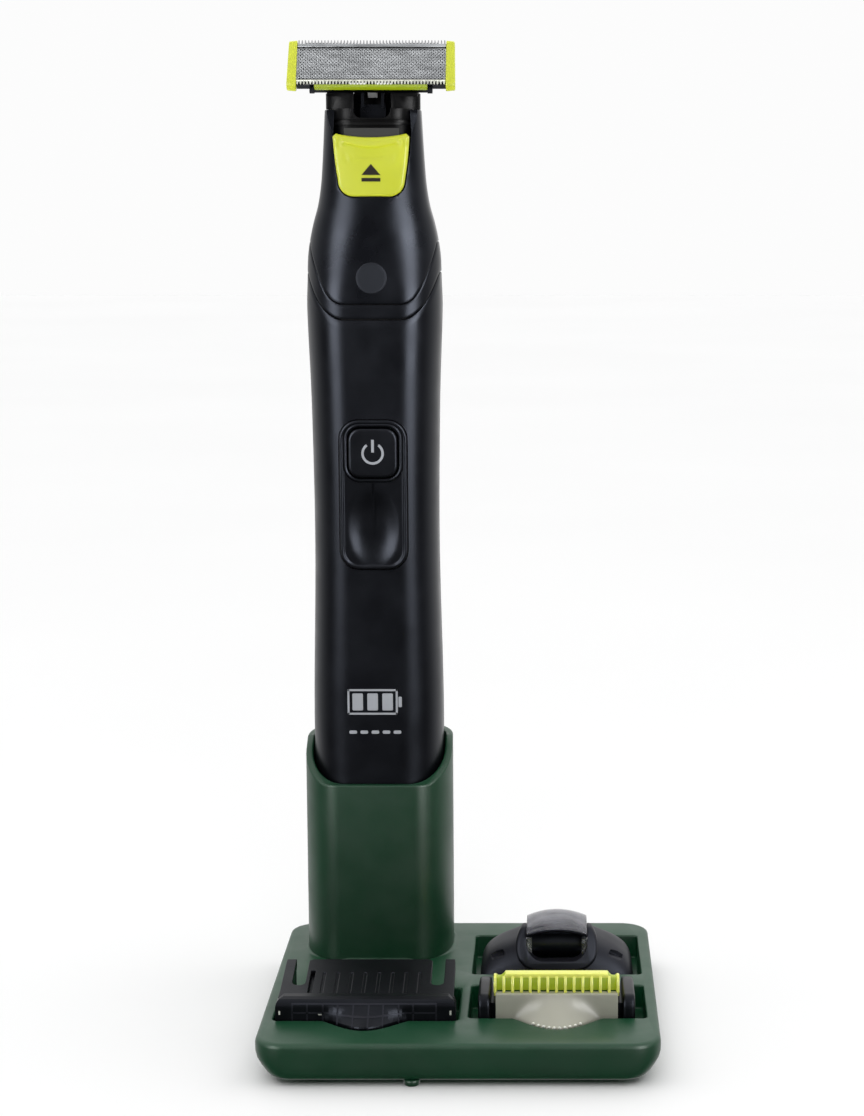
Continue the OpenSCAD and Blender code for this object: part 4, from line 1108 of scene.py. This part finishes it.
def make_comb():
    """Stubble comb: a slanted ribbed plate with two cradles, on a latticed front wall."""
    floor_z, top = low("stubble_comb").z, high("stubble_comb").z
    middle, half = mid_x("stubble_comb"), half_x("stubble_comb")
    back, front = high("stubble_comb").y, -24.8
    crest = 12.5

    def wall_y(x, z, out=0.0):
        turn = max(0.0, z - crest + 1.8)
        flare = clamp((11.9 - z) / 3.5) ** 1.5
        return front + 1.8 - math.sqrt(max(0.0, 1.8 ** 2 - turn ** 2)) - 4.9 * flare * bell(x / 7.6) - out

    rings = []
    for i in range(31):
        z = floor_z + (crest - floor_z) * i / 30
        reach = half - 0.8 * (wall_y(half, z) - front)
        across = eased(reach, 60)
        rings.append([(middle + x, wall_y(x, z), z) for x in across]
                     + [(middle + x, front + 3.6, z) for x in reversed(across)])
    wall = bevelled(loft("comb_wall", rings), 0.12, 2, 50)
    line_z, line_x, proud = 7.4, -14.3, 0.11
    faces = []
    for x in (line_x, -11.4, -8.3, -5.4, -2.3, 0.7, 3.5, 6.5, 9.3, 13.8):
        faces.append([[(middle + x + side, wall_y(x, line_z + 0.3 * i, proud), line_z + 0.3 * i)
                       for side in (-0.15, 0.15)] for i in range(15)])
    for z in (9.7, 11.5):
        faces.append([[(middle + x, wall_y(x, z + side, proud), z + side) for side in (-0.14, 0.14)]
                      for x in [line_x + 0.5 * i for i in range(57)]])
    lattice = [thick_wall("line", face, [[(a, b + 0.3, c) for a, b, c in row] for row in face])
               for face in faces]
    plate_front, plate_low = 2.2, 12.25

    def slope(y):
        run = (y - front - plate_front) / (back - front - plate_front)
        return plate_low + (top - plate_low) * run

    cut_x, cut_half, cut_end = 13.7, 1.3, back - 9.2
    right = [(half - 0.4, front + 2.0), (half - 0.5, front + 4.5), (half - 0.6, back - 1.5),
             (half - 0.7, back), (cut_x + cut_half, back)]
    right += arc(cut_x, cut_end, cut_half, 0, -180, 12)
    right += [(cut_x - cut_half, back - 0.6), (cut_x - cut_half - 0.8, back)]
    outline = right + [(-x, y) for x, y in reversed(right)]
    plate = prism("comb_plate", outline, lambda a, b, d: (middle + a, b, slope(b) - d), 1.7)
    rut = rounded(0.6, back - front - 8.0, 0.3, 4, 1)
    rut_y = (front + back) / 2 - 1.4
    for i in range(8):
        x = -8.9 + i * 2.72
        boolean(plate, prism("tool", rut, lambda a, b, d: (middle + x + a, rut_y + b,
                                                           slope(rut_y + b) + 0.5 - d), 0.68))
    deep = rounded(0.9, 9.0, 0.3, 4, 1)
    boolean(plate, prism("tool", deep, lambda a, b, d: (middle - 11.2 + a, front + 8.2 + b, 16.5 - d), 9))
    bevelled(plate, 0.22, 3, 50)
    parts = [wall, plate]
    for side in (-1, 1):
        for x, wide in ((half - 1.9, 1.2), (cut_x - cut_half - 1.2, 1.1)):
            skirt = [(front + 3, floor_z), (front + 3, 11.5), (back - 0.3, top - 1.2), (back - 0.3, floor_z)]
            parts.append(sideways("skirt", skirt, middle + side * x - wide / 2, wide))
    finish_piece(join("comb_look", parts), COMB_BLACK, "comb", "stubble_comb", smooth=8)
    # The lattice ribs are the comb's own black plastic. The lighter cap charcoal on them is a painted
    # highlight along the ribs.
    lines = finish_piece(join("comb_lattice", lattice), CHARCOAL, "comb")
    # Small white dots on the comb's front wall, each a painted glint rather than a part.
    glint_dots = []
    for x, z, wide, tall in ((-16.8, 9.7, 0.35, 0.8), (16.6, 9.7, 0.4, 0.9), (-8.9, 9.4, 0.75, 0.3)):
        glint_dot = rounded(wide, tall, 0.14, 3, 1)
        glint_dots.append(upright("glint_dot", glint_dot, middle + x, z, wall_y(x, z, 0.06), 0.5))
    glints_look = finish_piece(join("comb_painted_glints", glint_dots), TIP_GLINT, "comb")


def make_marks():
    """Battery gauge drawn as an outline with three bars, and a row of level dashes."""
    face = low("printed_marks").y
    centre = mid_x("printed_marks")
    marks = []

    def bar(x, z, wide, tall, r=0.25):
        shape = rounded(wide, tall, r, 4, 1)
        marks.append(upright("mark", shape, centre + x, z, face, 0.3))

    top, bottom, line = 66.0, 60.6, 0.42
    level_z = (top + bottom) / 2
    dash_z, dash_pitch = 56.9, 2.3
    for z in (top - line / 2, bottom + line / 2):
        bar(-0.5, z, 10.4, line, 0.15)
    for x in (-5.5, 4.5):
        bar(x, level_z, line, top - bottom, 0.15)
    bar(5.2, level_z, 0.7, 2.2, 0.2)
    for x in (-3.6, -0.5, 2.6):
        bar(x, level_z, 2.2, 3.6)
    for i in range(5):
        bar(-4.6 + i * dash_pitch, dash_z, 1.6, 0.7, 0.3)
    finish_piece(join("marks_look", marks), PRINT, "handle", "printed_marks")


make_comb()
make_cap()
make_guard()
make_marks()


# ---------- floor, light and camera ----------

def add_lamp(name, data, direction):
    lamp = bpy.data.objects.new(name, data)
    lamp.rotation_euler = direction.to_track_quat("-Z", "Y").to_euler()
    bpy.context.scene.collection.objects.link(lamp)
    return lamp


def add_light(name, place, aim, size, power, kind="both"):
    """An area light; kind says whether it shows in gloss, in matt colour or in both."""
    data = bpy.data.lights.new(name, "AREA")
    data.shape = "RECTANGLE"
    data.size, data.size_y = size
    data.energy = power
    lamp = add_lamp(name, data, Vector(aim) - Vector(place))
    lamp.location = place
    lamp.visible_diffuse = kind != "gloss"
    lamp.visible_glossy = kind != "matt"


def make_floor():
    bm = bmesh.new()
    half = 3.0
    corners = [bm.verts.new((x * half, y * half, 0)) for x, y in ((-1, -1), (1, -1), (1, 1), (-1, 1))]
    bm.faces.new(corners)
    floor = to_object("floor", bm)
    material, tree, shader = new_material("floor_paint")
    drift = noise(tree, 3)
    paint = ramp(tree, drift, (0.93, 0.93, 0.93, 1), (0.945, 0.945, 0.945, 1))
    tree.links.new(paint, shader.inputs["Base Color"])
    set_inputs(shader, {"Roughness": 0.7, "Specular IOR Level": 0.2})
    floor.data.materials.append(material)
    floor.visible_glossy = False


# Strength of the surround in front, the share of height in it, and what the camera sees of it.
FRONT_LEVEL = 0.04
HEIGHT_SHARE = 0.45
BACKDROP_LEVEL = 0.975


def math_node(tree, operation, *terms):
    """A math node whose terms are numbers or the outputs of other nodes."""
    node = tree.nodes.new("ShaderNodeMath")
    node.operation = operation
    for socket, term in zip(node.inputs, terms):
        if isinstance(term, float):
            socket.default_value = term
        else:
            tree.links.new(term, socket)
    return node.outputs["Value"]


def light_world(tree):
    """A white surround that lights the object mostly from behind, as a studio sweep does."""
    backdrop = tree.nodes["Background"]
    backdrop.inputs["Color"].default_value = (1, 1, 1, 1)
    where = tree.nodes.new("ShaderNodeTexCoord")
    split = tree.nodes.new("ShaderNodeSeparateXYZ")
    tree.links.new(where.outputs["Generated"], split.inputs["Vector"])
    height = math_node(tree, "MULTIPLY_ADD", split.outputs["Z"], HEIGHT_SHARE, split.outputs["Y"])
    glow = tree.nodes.new("ShaderNodeMapRange")
    set_inputs(glow, {"From Min": -0.3, "From Max": 0.4, "To Min": FRONT_LEVEL, "To Max": 0.9})
    tree.links.new(height, glow.inputs["Value"])
    path = tree.nodes.new("ShaderNodeLightPath")
    seen = math_node(tree, "MULTIPLY", path.outputs["Is Camera Ray"], BACKDROP_LEVEL)
    strength = math_node(tree, "MAXIMUM", glow.outputs["Result"], seen)
    tree.links.new(strength, backdrop.inputs["Strength"])


make_floor()
world = bpy.data.worlds.new("studio")
world.use_nodes = True
light_world(world.node_tree)
scene = bpy.context.scene
scene.world = world
scene.view_settings.view_transform = "Standard"
scene.view_settings.look = "None"


def add_sun(place, power, spread_angle):
    data = bpy.data.lights.new("overhead", "SUN")
    data.energy = power
    data.angle = math.radians(spread_angle)
    add_lamp("overhead", data, -Vector(place))


add_sun((0.0, 0.15, 1), 1.3, 110)
HANDLE_MID = (-0.018, 0.025, 0.13)
for side, reach, power in ((-1, 0.42, 1.0), (1, 0.38, 1.25)):
    low_place, high_place = (side * reach, -0.49, 0.18), (side * reach * 1.1, -0.42, 0.50)
    add_light("low_softbox", low_place, HANDLE_MID, (0.34, 0.24), 2.7 * power, "gloss")
    add_light("high_softbox", high_place, HANDLE_MID, (0.32, 0.2), 2.5 * power, "gloss")
add_light("front_fill", (0.0, -0.6, 0.5), (0.0, 0.0, 0.08), (0.5, 0.3), 0.9, "matt")

camera_data = bpy.data.cameras.new("camera")
camera_data.sensor_width = 36
camera_data.lens = 80.65
camera_data.shift_x = -0.1075
camera_data.clip_start = 0.01
camera = bpy.data.objects.new("camera", camera_data)
camera.location = (0.0180, -0.49315, 0.1722)
camera.rotation_euler = (math.radians(90 - 8.822), 0, 0)
scene.collection.objects.link(camera)
scene.camera = camera

bpy.context.view_layer.update()
